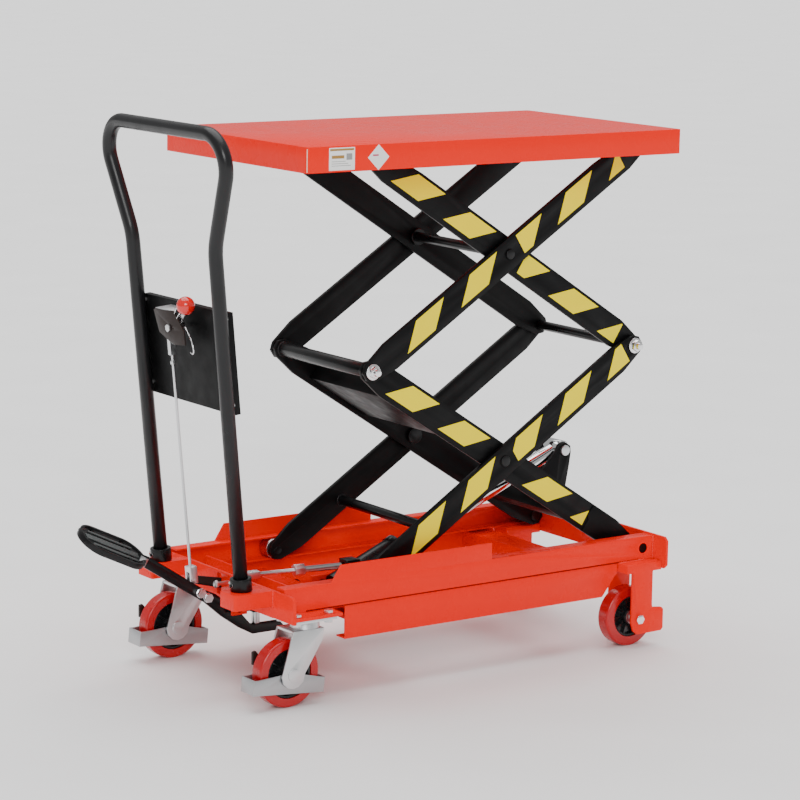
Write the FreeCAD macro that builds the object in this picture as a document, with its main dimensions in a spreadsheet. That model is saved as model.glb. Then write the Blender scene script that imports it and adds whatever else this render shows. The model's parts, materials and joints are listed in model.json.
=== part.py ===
"""Mobile double scissor lift table, as a parametric FreeCAD document.

Frame: millimetres, +Z up, floor at Z = 0, +X towards the fixed wheels, -X towards the handle,
-Y is the near side. The origin is at the middle of the footprint.
"""
import FreeCAD, Part
import Sketcher
import math
import os
import re

from FreeCAD import Placement, Rotation, Vector

SIZES = {
    # scissors
    "arm_span": 778.15,          # pivot to pivot
    "lift_angle": 32.62,         # arms above the horizontal in the stored pose
    "arm_width": 60.0,
    "arm_plate": 8.0,
    "arm_tip": 19.0,            # plate beyond each end pivot
    "inner_face": 158.0,        # outside faces of the inner and outer arms, from the centre plane
    "outer_face": 169.0,
    "pivot_x": 591.7,           # fixed pivots at the wheel end
    "pivot_z": 204.0,
    "pin_radius": 11.0,
    "shaft_radius": 10.0,
    "axle_radius": 9.0,
    "running_gap": 0.05,
    # deck
    "deck_start": -278.0,
    "deck_length": 905.0,
    "deck_width": 510.0,
    "deck_depth": 49.0,
    "deck_sheet": 4.0,
    "deck_skirt": 3.0,
    "deck_over": 32.0,          # deck surface above its pivots
    "rail_web": 200.0,
    # base
    "end_x": -298.0,            # outside face of the handle end plate
    "end_plate": 6.0,
    "end_half": 256.5,
    "wheel_end_x": 619.0,
    "side_face": 215.0,         # outside face of the side channels
    "channel_top": 228.5,
    "channel_low": 179.5,
    "channel_wall": 4.0,
    "channel_flange": 30.0,
    "guard_top": 262.0,
    "skirt_low": 113.0,
    "skirt_wall": 3.0,
    "floor_top": 168.0,
    "floor_sheet": 4.0,
    # rollers
    "roller_radius": 20.0,
    "deck_roller": 15.0,
    "roller_width": 28.0,
    "stub_radius": 8.0,
    # wheels
    "wheel_radius": 62.5,
    "caster_radius": 67.0,
    "caster_hub": 49.0,
    "tyre_width": 32.0,
    "hub_radius": 43.0,
    "wheel_axle": 6.0,
    "caster_x": -246.0,
    "caster_y": 214.0,
    "caster_trail": 43.0,
    "fixed_x": 562.5,
    "fixed_y": 201.0,
    # handle
    "post_x": -348.5,
    "post_y": 150.0,
    "post_z": 221.0,
    "handle_lean": 5.6,
    "tube_radius": 14.0,
    "grip_rise": 882.0,         # top bar above the post foot, along the lean
    "kink_rise": 664.0,
    # ram
    "foot_x": -43.0,
    "foot_z": 150.0,
    "ear_along": 235.8,         # ear pin in the lower inner arms' own frame
    "ear_across": 117.9,
    "barrel_radius": 29.0,
    "barrel_bore": 26.0,
    "barrel_mouth": 177.0,
    "rod_radius": 16.0,
    "rod_reach": 499.0,
    # pedal and release
    "pedal_x": -273.0,
    "pedal_z": 148.0,
    "plunger_x": -221.0,
    "release_y": 13.0,
    "link_y": -46.0,
    "link_z": 220.0,
    "link_skew": 8.1,
    "crank_x": -270.0,
    "crank_z": 190.0,
}

doc = FreeCAD.newDocument("ScissorLiftTable")
sheet = doc.addObject("Spreadsheet::Sheet", "Sizes")
for row, (alias, value) in enumerate(SIZES.items(), 1):
    sheet.set("A%d" % row, alias)
    sheet.set("B%d" % row, str(value))
    sheet.setAlias("B%d" % row, alias)
doc.recompute()

ALIAS = re.compile(r"\b(%s)\b" % "|".join(SIZES))
AXES = {"X": Rotation(Vector(0, 1, 0), 90), "Y": Rotation(Vector(1, 0, 0), -90), "Z": Rotation()}
FALLING = Vector(0, 1, 0)
RISING = Vector(0, -1, 0)
nodes = {}


def size(alias):
    """The number in a cell of the sheet."""
    return float(sheet.get(alias))


def bind(thing, prop, formula):
    """Tie a property to the sheet; a formula names cells by their aliases."""
    thing.setExpression(prop, ALIAS.sub(r"Sizes.\1", str(formula)))


def name_of(text):
    return "".join(word.capitalize() for word in text.split("_"))


def bind_place(thing, place):
    for letter, formula in zip("xyz", place):
        bind(thing, "Placement.Base." + letter, formula)


def box(name, extent, centre):
    """A block from its extents and its centre."""
    thing = doc.addObject("Part::Box", name_of(name))
    for prop, formula in zip(("Length", "Width", "Height"), extent):
        bind(thing, prop, formula)
    bind_place(thing, ["(%s)-(%s)/2" % pair for pair in zip(centre, extent)])
    return thing


def rod(name, radius, length, centre, axis="Y"):
    """A round bar along an axis, from its middle."""
    thing = doc.addObject("Part::Cylinder", name_of(name))
    bind(thing, "Radius", radius)
    bind(thing, "Height", length)
    thing.Placement = Placement(Vector(), AXES[axis])
    start = list(centre)
    index = "XYZ".index(axis)
    start[index] = "(%s)-(%s)/2" % (centre[index], length)
    bind_place(thing, start)
    return thing


def hexagon(name, across, length, centre, axis="Y"):
    """A nut or bolt head: a hexagonal prism along an axis, from its middle."""
    thing = doc.addObject("Part::Prism", name_of(name))
    thing.Polygon = 6
    bind(thing, "Circumradius", "(%s)/1.732" % across)
    bind(thing, "Height", length)
    thing.Placement = Placement(Vector(), AXES[axis])
    start = list(centre)
    index = "XYZ".index(axis)
    start[index] = "(%s)-(%s)/2" % (centre[index], length)
    bind_place(thing, start)
    return thing


def ball(name, radius, centre):
    thing = doc.addObject("Part::Sphere", name_of(name))
    bind(thing, "Radius", radius)
    bind_place(thing, centre)
    return thing


def fuse(name, parts):
    thing = doc.addObject("Part::MultiFuse", name_of(name))
    thing.Shapes = parts
    return thing


def cut(name, base, tools):
    """Take tools away from a base."""
    thing = doc.addObject("Part::Cut", name_of(name))
    thing.Base = base
    thing.Tool = tools[0] if len(tools) == 1 else fuse(name + "_tools", tools)
    return thing


def group(name, parts):
    thing = doc.addObject("Part::Compound", name_of(name))
    thing.Links = parts
    return thing


def mirrored(name, source):
    """The same piece on the other side of the centre plane."""
    thing = doc.addObject("Part::Mirroring", name_of(name))
    thing.Source = source
    thing.Normal = Vector(0, 1, 0)
    return thing


def tilt(thing, x, z, angle, axis):
    """Lay a piece drawn about its own origin along a sloping direction in the XZ plane."""
    if thing.TypeId in ("Part::Box", "Part::Cylinder"):
        thing = group(thing.Label + "_set", [thing])
    thing.Placement = Placement(Vector(), Rotation(axis, 30))
    bind_place(thing, (x, "0", z))
    bind(thing, "Placement.Rotation.Angle", angle)
    return thing


def keep(label, thing):
    """Name a finished sub-part."""
    thing.Label = label
    nodes[label] = thing
    return thing


def keep_pair(label, near):
    """A near piece and its far twin as one node of two solids."""
    return keep(label, group(label + "_pair", [near, mirrored(label + "_far", near)]))


# Sketched plates ---------------------------------------------------------------------------

def origin_plane(body, role):
    return next(item for item in body.Origin.OriginFeatures if item.Role == role)


def sketch_on(body, role, name):
    sketch = body.newObject("Sketcher::SketchObject", name)
    sketch.AttachmentSupport = (origin_plane(body, role), [""])
    sketch.MapMode = "FlatFace"
    return sketch


def number(formula):
    """What a formula of cell names works out to."""
    value = ALIAS.sub(lambda match: "(%r)" % size(match.group(1)), str(formula))
    return float(FreeCAD.Units.Quantity(str(sheet.evalExpression(value))).Value)


def outline(sketch, corners):
    """A closed polygon whose corners are held by formulas from the origin."""
    points = [Vector(number(x), number(y), 0) for x, y in corners]
    for start, end in zip(points, points[1:] + points[:1]):
        sketch.addGeometry(Part.LineSegment(start, end), False)
    count = len(points)
    for index, (x, y) in enumerate(corners):
        after = (index + 1) % count
        sketch.addConstraint(Sketcher.Constraint("Coincident", index, 2, after, 1))
        for kind, formula, value in (("DistanceX", x, points[index].x), ("DistanceY", y, points[index].y)):
            held = sketch.addConstraint(Sketcher.Constraint(kind, -1, 1, index, 1, value))
            sketch.setExpression("Constraints[%d]" % held, ALIAS.sub(r"Sizes.\1", str(formula)))


def circle(sketch, radius, x, y):
    """A circle held by formulas from the origin."""
    centre = Vector(number(x), number(y), 0)
    mark = sketch.addGeometry(Part.Circle(centre, Vector(0, 0, 1), number(radius)), False)
    for kind, formula, value in (("DistanceX", x, centre.x), ("DistanceY", y, centre.y)):
        held = sketch.addConstraint(Sketcher.Constraint(kind, -1, 1, mark, 3, value))
        sketch.setExpression("Constraints[%d]" % held, ALIAS.sub(r"Sizes.\1", str(formula)))
    held = sketch.addConstraint(Sketcher.Constraint("Radius", mark, number(radius)))
    sketch.setExpression("Constraints[%d]" % held, ALIAS.sub(r"Sizes.\1", str(radius)))


def plate(name, role, corners, thickness, holes=()):
    """A flat plate, thickness shared evenly about the sketch's plane, with round holes."""
    body = doc.addObject("PartDesign::Body", name_of(name))
    sketch = sketch_on(body, role, name_of(name) + "Outline")
    outline(sketch, corners)
    for radius, x, y in holes:
        circle(sketch, radius, x, y)
    pad = body.newObject("PartDesign::Pad", name_of(name) + "Pad")
    pad.Profile = sketch
    pad.Midplane = True
    bind(pad, "Length", thickness)
    sketch.Visibility = False
    return body


def shifted(body, x="0", y="0", z="0"):
    bind_place(body, (x, y, z))
    return body


# Scissor arms ------------------------------------------------------------------------------

HALF = "arm_span/2"
JOINT_RISE = "arm_span/2*sin(lift_angle)"
CENTRE_X = "pivot_x-arm_span/2*cos(lift_angle)"
LOWER_Z = "pivot_z+" + JOINT_RISE
UPPER_Z = "pivot_z+3*" + JOINT_RISE
DECK_PIVOT_Z = "(pivot_z+4*%s)" % JOINT_RISE
INNER_MID = "inner_face-arm_plate/2"
OUTER_MID = "outer_face-arm_plate/2"


def arm_corners(left_top, left_low, right_top, right_low):
    """An arm's outline; each number is how far before that pivot its edge starts to narrow."""
    edge = "arm_width/2"
    neck = "20"
    tip = "9"
    return [
        ("-%s-arm_tip" % HALF, "-" + tip),
        ("-%s-6" % HALF, "-" + neck),
        ("-%s+%s" % (HALF, left_low), "-" + edge),
        ("%s-%s" % (HALF, right_low), "-" + edge),
        ("%s+6" % HALF, "-" + neck),
        ("%s+arm_tip" % HALF, "-" + tip),
        ("%s+arm_tip" % HALF, tip),
        ("%s+6" % HALF, neck),
        ("%s-%s" % (HALF, right_top), edge),
        ("-%s+%s" % (HALF, left_top), edge),
        ("-%s-6" % HALF, neck),
        ("-%s-arm_tip" % HALF, tip),
    ]


def arm_pair(label, tapers, middle, bores, height, axis):
    """Two parallel arms at the same distance from the centre plane."""
    left, centre, right = bores
    holes = [(left, "-" + HALF, "0"), (centre, "0", "0"), (right, HALF, "0")]
    pair = []
    for side, sign in (("near", "-"), ("far", "")):
        arm = plate(label + "_" + side, "XZ_Plane", arm_corners(*tapers), "arm_plate", holes)
        tilt(arm, CENTRE_X, height, "lift_angle", axis)
        bind(arm, "Placement.Base.y", "%s(%s)" % (sign, middle))
        pair.append(arm)
    return keep(label, group(label + "_pair", pair))


def along_arm(thing, height, axis):
    """Put a piece drawn in an arm pair's own frame where that pair is."""
    return tilt(thing, CENTRE_X, height, "lift_angle", axis)


def lower_inner():
    bores = ("axle_radius+running_gap", "pin_radius+running_gap", "pin_radius+running_gap")
    arm_pair("lower_inner_arms", (50, 50, 50, 50), INNER_MID, bores, LOWER_Z, FALLING)
    span = "2*(inner_face-arm_plate)"
    shell = box("beam_outside", ("166", span, "46"), ("-217", "0", "3"))
    hollow = box("beam_inside", ("158", span + "+2", "38"), ("-217", "0", "3"))
    keep("box_beam", along_arm(cut("beam", shell, [hollow]), LOWER_Z, FALLING))
    ram_ears(span)


def ram_ears(span):
    """Two ears on a cross tube between the inner arms, and the pin for the ram."""
    corners = [
        ("200", "8"), ("300", "8"), ("ear_along+28", "ear_across-20"), ("ear_along+17", "ear_across+4"),
        ("ear_along+8", "ear_across+15"), ("ear_along-8", "ear_across+15"), ("ear_along-17", "ear_across+4"),
    ]
    bore = [("pin_radius", "ear_along", "ear_across")]
    ears = []
    for side in (-1, 1):
        ear = plate("ear_%s" % ("near" if side < 0 else "far"), "XZ_Plane", corners, "8", bore)
        ears.append(shifted(ear, y=str(26 * side)))
    tube = box("ear_tube", ("40", span, "36"), ("250", "0", "0"))
    keep("ram_ears", along_arm(fuse("ears", ears + [tube]), LOWER_Z, FALLING))
    pin = rod("ear_pin_bar", "pin_radius", "68", ("ear_along", "0", "ear_across"))
    keep("ear_pin", along_arm(pin, LOWER_Z, FALLING))


def lower_outer():
    bores = ("stub_radius", "pin_radius", "shaft_radius+0.3")
    arm_pair("lower_outer_arms", (50, 50, 50, 50), OUTER_MID, bores, LOWER_Z, RISING)
    tube = rod("lower_tube", "10.5", "2*(outer_face-arm_plate)", ("-211", "0", "-9"))
    keep("lower_cross_tube", along_arm(tube, LOWER_Z, RISING))
    pins = []
    for side in (-1, 1):
        mark = "near" if side < 0 else "far"
        pin = rod("centre_pin_" + mark, "pin_radius", "27", ("0", side * 157.5, "0"))
        head = rod("centre_head_" + mark, "17", "6", ("0", side * 146.6, "0"))
        stub = rod("roller_stub_" + mark, "stub_radius", "46", ("-" + HALF, side * 184, "0"))
        pins += [fuse("centre_stud_" + mark, [pin, head]), stub]
    keep("lower_outer_pins", along_arm(group("lower_pins", pins), LOWER_Z, RISING))


def joint_nuts(name, along, radius, start):
    """Washer, nut and thread end outside the outer arms, both sides, from a face outwards."""
    parts = []
    for side in (-1, 1):
        mark = "%s_%s" % (name, "near" if side < 0 else "far")
        washer = rod(mark + "_washer", "16", "3", (along, side * (start + 1.5), "0"))
        nut = hexagon(mark + "_nut", "21", "9", (along, side * (start + 7.5), "0"))
        thread = rod(mark + "_thread", "7", "8", (along, side * (start + 16), "0"))
        parts.append(fuse(mark, [washer, nut, thread]))
    return parts


def upper_outer():
    bores = ("axle_radius", "shaft_radius", "pin_radius+running_gap")
    arm_pair("upper_outer_arms", (50, 50, 120, 50), OUTER_MID, bores, UPPER_Z, RISING)
    span = "2*(inner_face-arm_plate)-0.6"
    sleeve = rod("left_sleeve", "14", span, ("-" + HALF, "0", "0"))
    axle = rod("left_axle", "axle_radius", "2*outer_face", ("-" + HALF, "0", "0"))
    keep("left_joint_tube", along_arm(fuse("left_tube", [sleeve, axle]), UPPER_Z, RISING))
    nuts = group("left_nuts", joint_nuts("left", "-" + HALF, "axle_radius", 169.0))
    keep("left_joint_nuts", along_arm(nuts, UPPER_Z, RISING))
    shaft = rod("centre_bar", "shaft_radius", "2*outer_face+6", ("0", "0", "0"))
    keep("upper_centre_shaft", along_arm(shaft, UPPER_Z, RISING))


def upper_inner():
    bores = ("stub_radius", "shaft_radius+running_gap", "shaft_radius")
    arm_pair("upper_inner_arms", (120, 50, 50, 50), INNER_MID, bores, UPPER_Z, FALLING)
    shaft = rod("right_bar", "shaft_radius", "2*outer_face+0.6", (HALF, "0", "0"))
    keep("right_joint_shaft", along_arm(shaft, UPPER_Z, FALLING))
    parts = joint_nuts("right", HALF, "shaft_radius", 169.3)
    for side in (-1, 1):
        mark = "near" if side < 0 else "far"
        parts.append(rod("deck_stub_" + mark, "stub_radius", "48", ("-" + HALF, side * 174, "0")))
    keep("upper_inner_pins", along_arm(group("upper_pins", parts), UPPER_Z, FALLING))


def rollers():
    rows = [("base_rollers", "pivot_z", 190, "roller_radius"), ("deck_rollers", DECK_PIVOT_Z, 181, "deck_roller")]
    for label, height, distance, radius in rows:
        x = "pivot_x-arm_span*cos(lift_angle)"
        pair = []
        for side in (-1, 1):
            mark = "%s_%s" % (label, "near" if side < 0 else "far")
            tread = rod(mark + "_tread", radius, "roller_width", (x, side * distance, height))
            bore = rod(mark + "_bore", "stub_radius+running_gap", "40", (x, side * distance, height))
            pair.append(cut(mark, tread, [bore]))
        keep(label, group(label + "_pair", pair))


# Deck --------------------------------------------------------------------------------------

def deck():
    top = "(%s+deck_over)" % DECK_PIVOT_Z
    middle = "deck_start+deck_length/2"
    under = top + "-deck_sheet"
    shell = doc.addObject("PartDesign::Body", "DeckShell")
    sketch = sketch_on(shell, "XY_Plane", "DeckOutline")
    half_length = "deck_length/2"
    half_width = "deck_width/2"
    outline(sketch, rectangle("-" + half_length, "-" + half_width, half_length, half_width))
    pad = shell.newObject("PartDesign::Pad", "DeckPad")
    pad.Profile = sketch
    bind(pad, "Length", "deck_depth")
    doc.recompute()
    corners = upright_edges(pad)
    rounding = shell.newObject("PartDesign::Fillet", "DeckCorners")
    rounding.Base = (pad, corners)
    rounding.Radius = 7
    doc.recompute()
    hollow = sketch_on(shell, "XY_Plane", "DeckHollow")
    inset = "deck_skirt"
    outline(hollow, rectangle("-%s+%s" % (half_length, inset), "-%s+%s" % (half_width, inset),
                              "%s-%s" % (half_length, inset), "%s-%s" % (half_width, inset)))
    pocket = shell.newObject("PartDesign::Pocket", "DeckPocket")
    pocket.Profile = hollow
    pocket.Reversed = True
    bind(pocket, "Length", "deck_depth-deck_sheet")
    shifted(shell, middle, "0", top + "-deck_depth")
    keep("deck_tray", shell)

    rail_parts = []
    for side in (-1, 1):
        mark = "near" if side < 0 else "far"
        web = box("rail_web_" + mark, ("300", "4", "46"), ("-78", "%d*(rail_web+2)" % side, under + "-23"))
        lips = [box("rail_lip_%s_%d" % (mark, end), ("300", "35", "2.6"),
                    ("-78", "%d*(rail_web-13.5)" % side, "%s+%d*(deck_roller+1.6)" % (DECK_PIVOT_Z, end)))
                for end in (-1, 1)]
        lug = box("deck_lug_" + mark, ("44", "6", "38"), ("pivot_x", side * 175, under + "-19"))
        pin = rod("deck_pin_" + mark, "pin_radius", "19", ("pivot_x", side * 168.5, DECK_PIVOT_Z))
        rail_parts += [fuse("rail_" + mark, [web] + lips), fuse("lug_" + mark, [lug, pin])]
    keep("deck_rails", group("deck_rail_set", rail_parts))


def rectangle(x0, y0, x1, y1):
    return [(x0, y0), (x1, y0), (x1, y1), (x0, y1)]


def upright_edges(feature):
    """Names of the vertical edges of a prism."""
    names = []
    for index, edge in enumerate(feature.Shape.Edges, 1):
        start, end = (vertex.Point for vertex in edge.Vertexes)
        if (end - start).cross(Vector(0, 0, 1)).Length < 1e-6:
            names.append("Edge%d" % index)
    return names


# Base --------------------------------------------------------------------------------------

def side_channel(side):
    """One long channel, open inwards, with the guard plate above it and the pivot hole."""
    mark = "near" if side < 0 else "far"
    length = "wheel_end_x-end_x-end_plate"
    middle = "(wheel_end_x+end_x+end_plate)/2"
    height = "channel_top-channel_low"
    flange_y = "%d*(side_face-channel_flange/2)" % side
    web = box("side_web_" + mark, (length, "channel_wall", height),
              (middle, "%d*(side_face-channel_wall/2)" % side, "(channel_top+channel_low)/2"))
    upper = box("side_top_" + mark, (length, "channel_flange", "channel_wall"),
                (middle, flange_y, "channel_top-channel_wall/2"))
    lower = box("side_low_" + mark, (length, "channel_flange", "channel_wall"),
                (middle, flange_y, "channel_low+channel_wall/2"))
    corners = [("-187", "channel_top-2"), ("201", "channel_top-2"), ("201", "guard_top"), ("-164", "guard_top")]
    guard = plate("guard_" + mark, "XZ_Plane", corners, "3")
    shifted(guard, y="%d*(side_face-1.5)" % side)
    hole = rod("side_hole_" + mark, "pin_radius", "20", ("pivot_x", "%d*side_face" % side, "pivot_z"))
    body = fuse("side_body_" + mark, [web, upper, lower, guard])
    keep("side_channel_" + mark, cut("side_" + mark, body, [hole]))


def skirt_channels():
    corners = [("-153", "skirt_low"), ("487", "skirt_low"), ("525", "160"), ("525", "channel_low"),
               ("-153", "channel_low")]
    web = plate("skirt_web", "XZ_Plane", corners, "skirt_wall")
    shifted(web, y="-(side_face-skirt_wall/2)")
    lip = box("skirt_lip", ("640", "30", "skirt_wall"), ("167", "-(side_face-15)", "skirt_low+skirt_wall/2"))
    keep_pair("skirt_channels", fuse("skirt_near", [web, lip]))


def end_plates():
    corners = [("-end_half", "floor_top"), ("end_half", "floor_top"), ("end_half", "floor_top+45"),
               ("end_half-8", "floor_top+53"), ("-end_half+8", "floor_top+53"), ("-end_half", "floor_top+45")]
    front = plate("front_plate", "YZ_Plane", corners, "end_plate")
    shifted(front, x="end_x+end_plate/2")
    slot = box("crank_slot", ("20", "15", "42"), ("end_x+3", "release_y", "195"))
    keep("handle_end_plate", cut("handle_end", front, [slot]))
    reach = "end_half+1.5"
    corners = [("-(%s)" % reach, "172"), ("-(%s)+8" % reach, "164"), (reach + "-8", "164"), (reach, "172"),
               (reach, "223"), (reach + "-8", "231"), ("-(%s)+8" % reach, "231"), ("-(%s)" % reach, "223")]
    back = plate("back_plate", "YZ_Plane", corners, "end_plate")
    shifted(back, x="wheel_end_x+end_plate/2")
    keep("wheel_end_plate", back)


def floor_and_beams():
    sheet_z = "floor_top-floor_sheet/2"
    floor = box("floor_sheet_box", ("199", "344", "floor_sheet"), ("-192.5", "0", sheet_z))
    front = box("floor_front", ("4", "240", "26"), ("end_x+end_plate+2", "0", "floor_top+9"))
    wall = box("floor_wall", ("4", "344", "44"), ("-231", "0", "floor_top+22"))
    slot = box("front_slot", ("20", "17", "60"), ("end_x+end_plate+2", "release_y", "200"))
    keep("floor_plate", cut("floor", fuse("floor_body", [floor, front, wall]), [slot]))
    shell = box("cross_shell", ("60", "2*(side_face-skirt_wall)", "36"), ("472", "0", "158"))
    hollow = box("cross_hollow", ("50", "2*side_face+2", "26"), ("472", "0", "158"))
    keep("cross_beam", cut("cross", shell, [hollow]))
    mount = box("mount_plate", ("107", "84", "6"), ("-238.5", "-caster_y", "channel_low-3"))
    holes = [rod("mount_hole_%d" % index, "5.2", "20", (x, y, "channel_low"), "Z")
             for index, (x, y) in enumerate(caster_bolt_places(-1))]
    keep_pair("caster_mounts", cut("mount", mount, holes))


def caster_bolt_places(side):
    return [("caster_x+%d" % dx, "%d*caster_y+%d" % (side, dy)) for dx in (-36, 36) for dy in (-28, 28)]


def wheel_brackets():
    """A welded fork for each fixed wheel: two side plates under a box, with a rear foot."""
    axle = [("wheel_axle", "fixed_x", "wheel_radius")]
    outside = [("fixed_x-20", "channel_low"), ("fixed_x-20", "56"), ("fixed_x-14", "38"), ("fixed_x-4", "30"),
               ("fixed_x+60", "31"), ("fixed_x+65", "36"), ("fixed_x+65", "76"), ("fixed_x+60", "81"),
               ("fixed_x+34", "84"), ("fixed_x+34", "channel_low")]
    inside = [("fixed_x-20", "channel_low-6"), ("fixed_x-20", "46"), ("fixed_x-8", "34"), ("fixed_x+22", "34"),
              ("fixed_x+34", "46"), ("fixed_x+34", "channel_low-6")]
    outer = shifted(plate("fork_outer", "XZ_Plane", outside, "6", axle), y="-(fixed_y+41)")
    inner = shifted(plate("fork_inner", "XZ_Plane", inside, "6", axle), y="-(fixed_y-33)")
    top = box("fork_top", ("91", "80", "18"), ("fixed_x+10.5", "-(fixed_y+4)", "channel_low-9"))
    keep_pair("wheel_brackets", fuse("fork_near", [outer, inner, top]))


def handle_supports():
    block = doc.addObject("PartDesign::Body", "HandleBlock")
    sketch = sketch_on(block, "XY_Plane", "HandleBlockOutline")
    outline(sketch, rectangle("end_x-86", "-183", "end_x", "-127"))
    pad = block.newObject("PartDesign::Pad", "HandleBlockPad")
    pad.Profile = sketch
    pad.Length = 31
    doc.recompute()
    edges = [name for name in upright_edges(pad)
             if pad.Shape.getElement(name).CenterOfMass.x < number("end_x-40")]
    rounding = block.newObject("PartDesign::Fillet", "HandleBlockRounding")
    rounding.Base = (pad, edges)
    rounding.Radius = 5
    shifted(block, z="post_z-31")
    keep_pair("handle_brackets", block)


def frame_pins():
    """Pins and axles that stay with the base."""
    parts = []
    for side in (-1, 1):
        mark = "near" if side < 0 else "far"
        pin = rod("base_pin_" + mark, "pin_radius", "64", ("pivot_x", side * 180, "pivot_z"))
        collar = rod("base_collar_" + mark, "17", "39", ("pivot_x", side * 191.5, "pivot_z"))
        axle_y = "%d*(fixed_y+4)" % side
        axle = rod("fixed_axle_" + mark, "wheel_axle", "88", ("fixed_x", axle_y, "wheel_radius"))
        heads = [hexagon("fixed_head_%s_%d" % (mark, end), "18", "6",
                         ("fixed_x", "%d*(fixed_y+4+%d)" % (side, end * 43), "wheel_radius"))
                 for end in (-1, 1)]
        parts += [fuse("base_stud_" + mark, [pin, collar]), fuse("fixed_stud_" + mark, [axle] + heads)]
    parts.append(rod("foot_pin", "10", "84", ("foot_x", "0", "foot_z")))
    parts.append(rod("pedal_pin", "7", "50", ("pedal_x", "0", "pedal_z")))
    keep("frame_pins", group("frame_pin_set", parts))


def under_brackets():
    """What hangs from the base: ram foot bracket and pedal bracket with the crank bearings."""
    strap = box("foot_strap", ("60", "2*(side_face-skirt_wall)", "6"), ("foot_x", "0", "skirt_low+skirt_wall+3"))
    lugs = [box("foot_lug_%d" % side, ("48", "8", "54"), ("foot_x", side * 35, "foot_z-1"))
            for side in (-1, 1)]
    hole = rod("foot_hole", "10", "90", ("foot_x", "0", "foot_z"))
    keep("cylinder_bracket", cut("foot", fuse("foot_body", [strap] + lugs), [hole]))
    ears = [box("pedal_ear_%d" % side, ("34", "6", "28"), ("pedal_x", side * 21, "floor_top-18"))
            for side in (-1, 1)]
    ears += [box("crank_bearing_%d" % y, ("26", "6", "34"), ("crank_x", str(y), "floor_top+17"))
             for y in (-30, 26)]
    tools = [rod("pedal_hole", "7", "60", ("pedal_x", "0", "pedal_z")),
             rod("crank_hole", "6+running_gap", "90", ("crank_x", "0", "crank_z"))]
    keep("pedal_bracket", cut("pedal_support", group("pedal_support_set", ears), tools))


def pump():
    """Pump block under the floor with its reservoir and the release valve block."""
    head = box("pump_head", ("30", "46", "30"), ("plunger_x", "7", "149"))
    block = box("pump_block", ("126", "48", "34"), ("-173", "36", "147"))
    tank = rod("pump_tank", "23", "150", ("-150", "72", "140"), "X")
    cross = box("pump_cross", ("30", "109", "26"), ("-125", "-34.5", "149"))
    bar = box("valve_bar", ("105", "45", "20"), ("-87.5", "-66.5", "150"))
    valve = box("valve_block", ("30", "30", "92"), ("-48", "-75", "186"))
    bore = rod("plunger_bore", "8+running_gap", "48", ("plunger_x", "0", "138"), "Z")
    port = along_link(rod("valve_port", "7.2", "30", ("208", "0", "0"), "X"))
    keep("pump_body", cut("pump", fuse("pump_set", [head, block, tank, cross, bar, valve]), [bore, port]))
    keep("pump_plunger", rod("plunger", "8", "30", ("plunger_x", "0", "123"), "Z"))


# Wheels ------------------------------------------------------------------------------------

def wheel(prefix, mark, x, y, radius, hub_size):
    """Tread and hub of one wheel about an axle along Y."""
    place = (x, y, radius)
    tread = rod("tread_" + mark, radius, "tyre_width", place)
    seat = rod("seat_" + mark, hub_size, "60", place)
    ring = cut("ring_" + mark, tread, [seat])
    doc.recompute()
    rounding = doc.addObject("Part::Fillet", "Rounding" + name_of(mark))
    rounding.Base = ring
    rims = [(index, 5.0, 5.0) for index, edge in enumerate(ring.Shape.Edges, 1)
            if hasattr(edge.Curve, "Radius") and edge.Curve.Radius > size(radius) - 1
            and edge.isClosed()]
    rounding.Edges = rims
    keep("%s_tyre_%s" % (prefix, mark.split("_")[-1]), rounding)
    disc = rod("disc_" + mark, hub_size, "tyre_width-6", place)
    boss = rod("boss_" + mark, "16", "tyre_width+6", place)
    bore = rod("bore_" + mark, "wheel_axle+running_gap", "80", place)
    recess = []
    for side in (-1, 1):
        shallow = rod("dish_%s_%d" % (mark, side), hub_size + "-7", "8", (x, "%s+%d" % (y, side * 13), radius))
        island = rod("island_%s_%d" % (mark, side), "16", "10", (x, "%s+%d" % (y, side * 13), radius))
        recess.append(cut("recess_%s_%d" % (mark, side), shallow, [island]))
    hub = cut("hub_" + mark, fuse("hub_body_" + mark, [disc, boss]), recess + [bore])
    keep("%s_hub_%s" % (prefix, mark.split("_")[-1]), hub)


def swivel_caster(side):
    mark = "near" if side < 0 else "far"
    sign = "%d*" % side
    centre_y = sign + "caster_y"
    axle_x = "caster_x-caster_trail"
    wheel("swivel", "swivel_" + mark, axle_x, centre_y, "caster_radius", "caster_hub")
    legs = []
    foot = [(26, 67), (22, 52), (12, 43), (0, 40), (-12, 43), (-22, 52), (-26, 67)]
    corners = [("caster_x-44", "152"), ("caster_x+26", "152"), ("caster_x+22", "128")]
    corners += [("%s+%d" % (axle_x, across), str(height)) for across, height in foot]
    for step in (-1, 1):
        leg = plate("leg_%s_%d" % (mark, step), "XZ_Plane", corners, "4")
        legs.append(shifted(leg, y="%s+%d" % (centre_y, step * 28)))
    crown = box("crown_" + mark, ("70", "60", "5"), ("caster_x-9", centre_y, "149.5"))
    race = rod("race_" + mark, "29", "14", ("caster_x", centre_y, "159"), "Z")
    axle = rod("axle_" + mark, "wheel_axle", "66", (axle_x, centre_y, "caster_radius"))
    heads = [rod("cap_%s_%d" % (mark, step), "13", "3", (axle_x, "%s+%s" % (centre_y, step * 31.5), "caster_radius"))
             for step in (-1, 1)]
    parts = legs + [crown, race, axle] + heads
    keep("caster_fork_" + mark, fuse("fork_set_" + mark, parts))
    brake_frame(mark, axle_x, centre_y)


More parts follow.
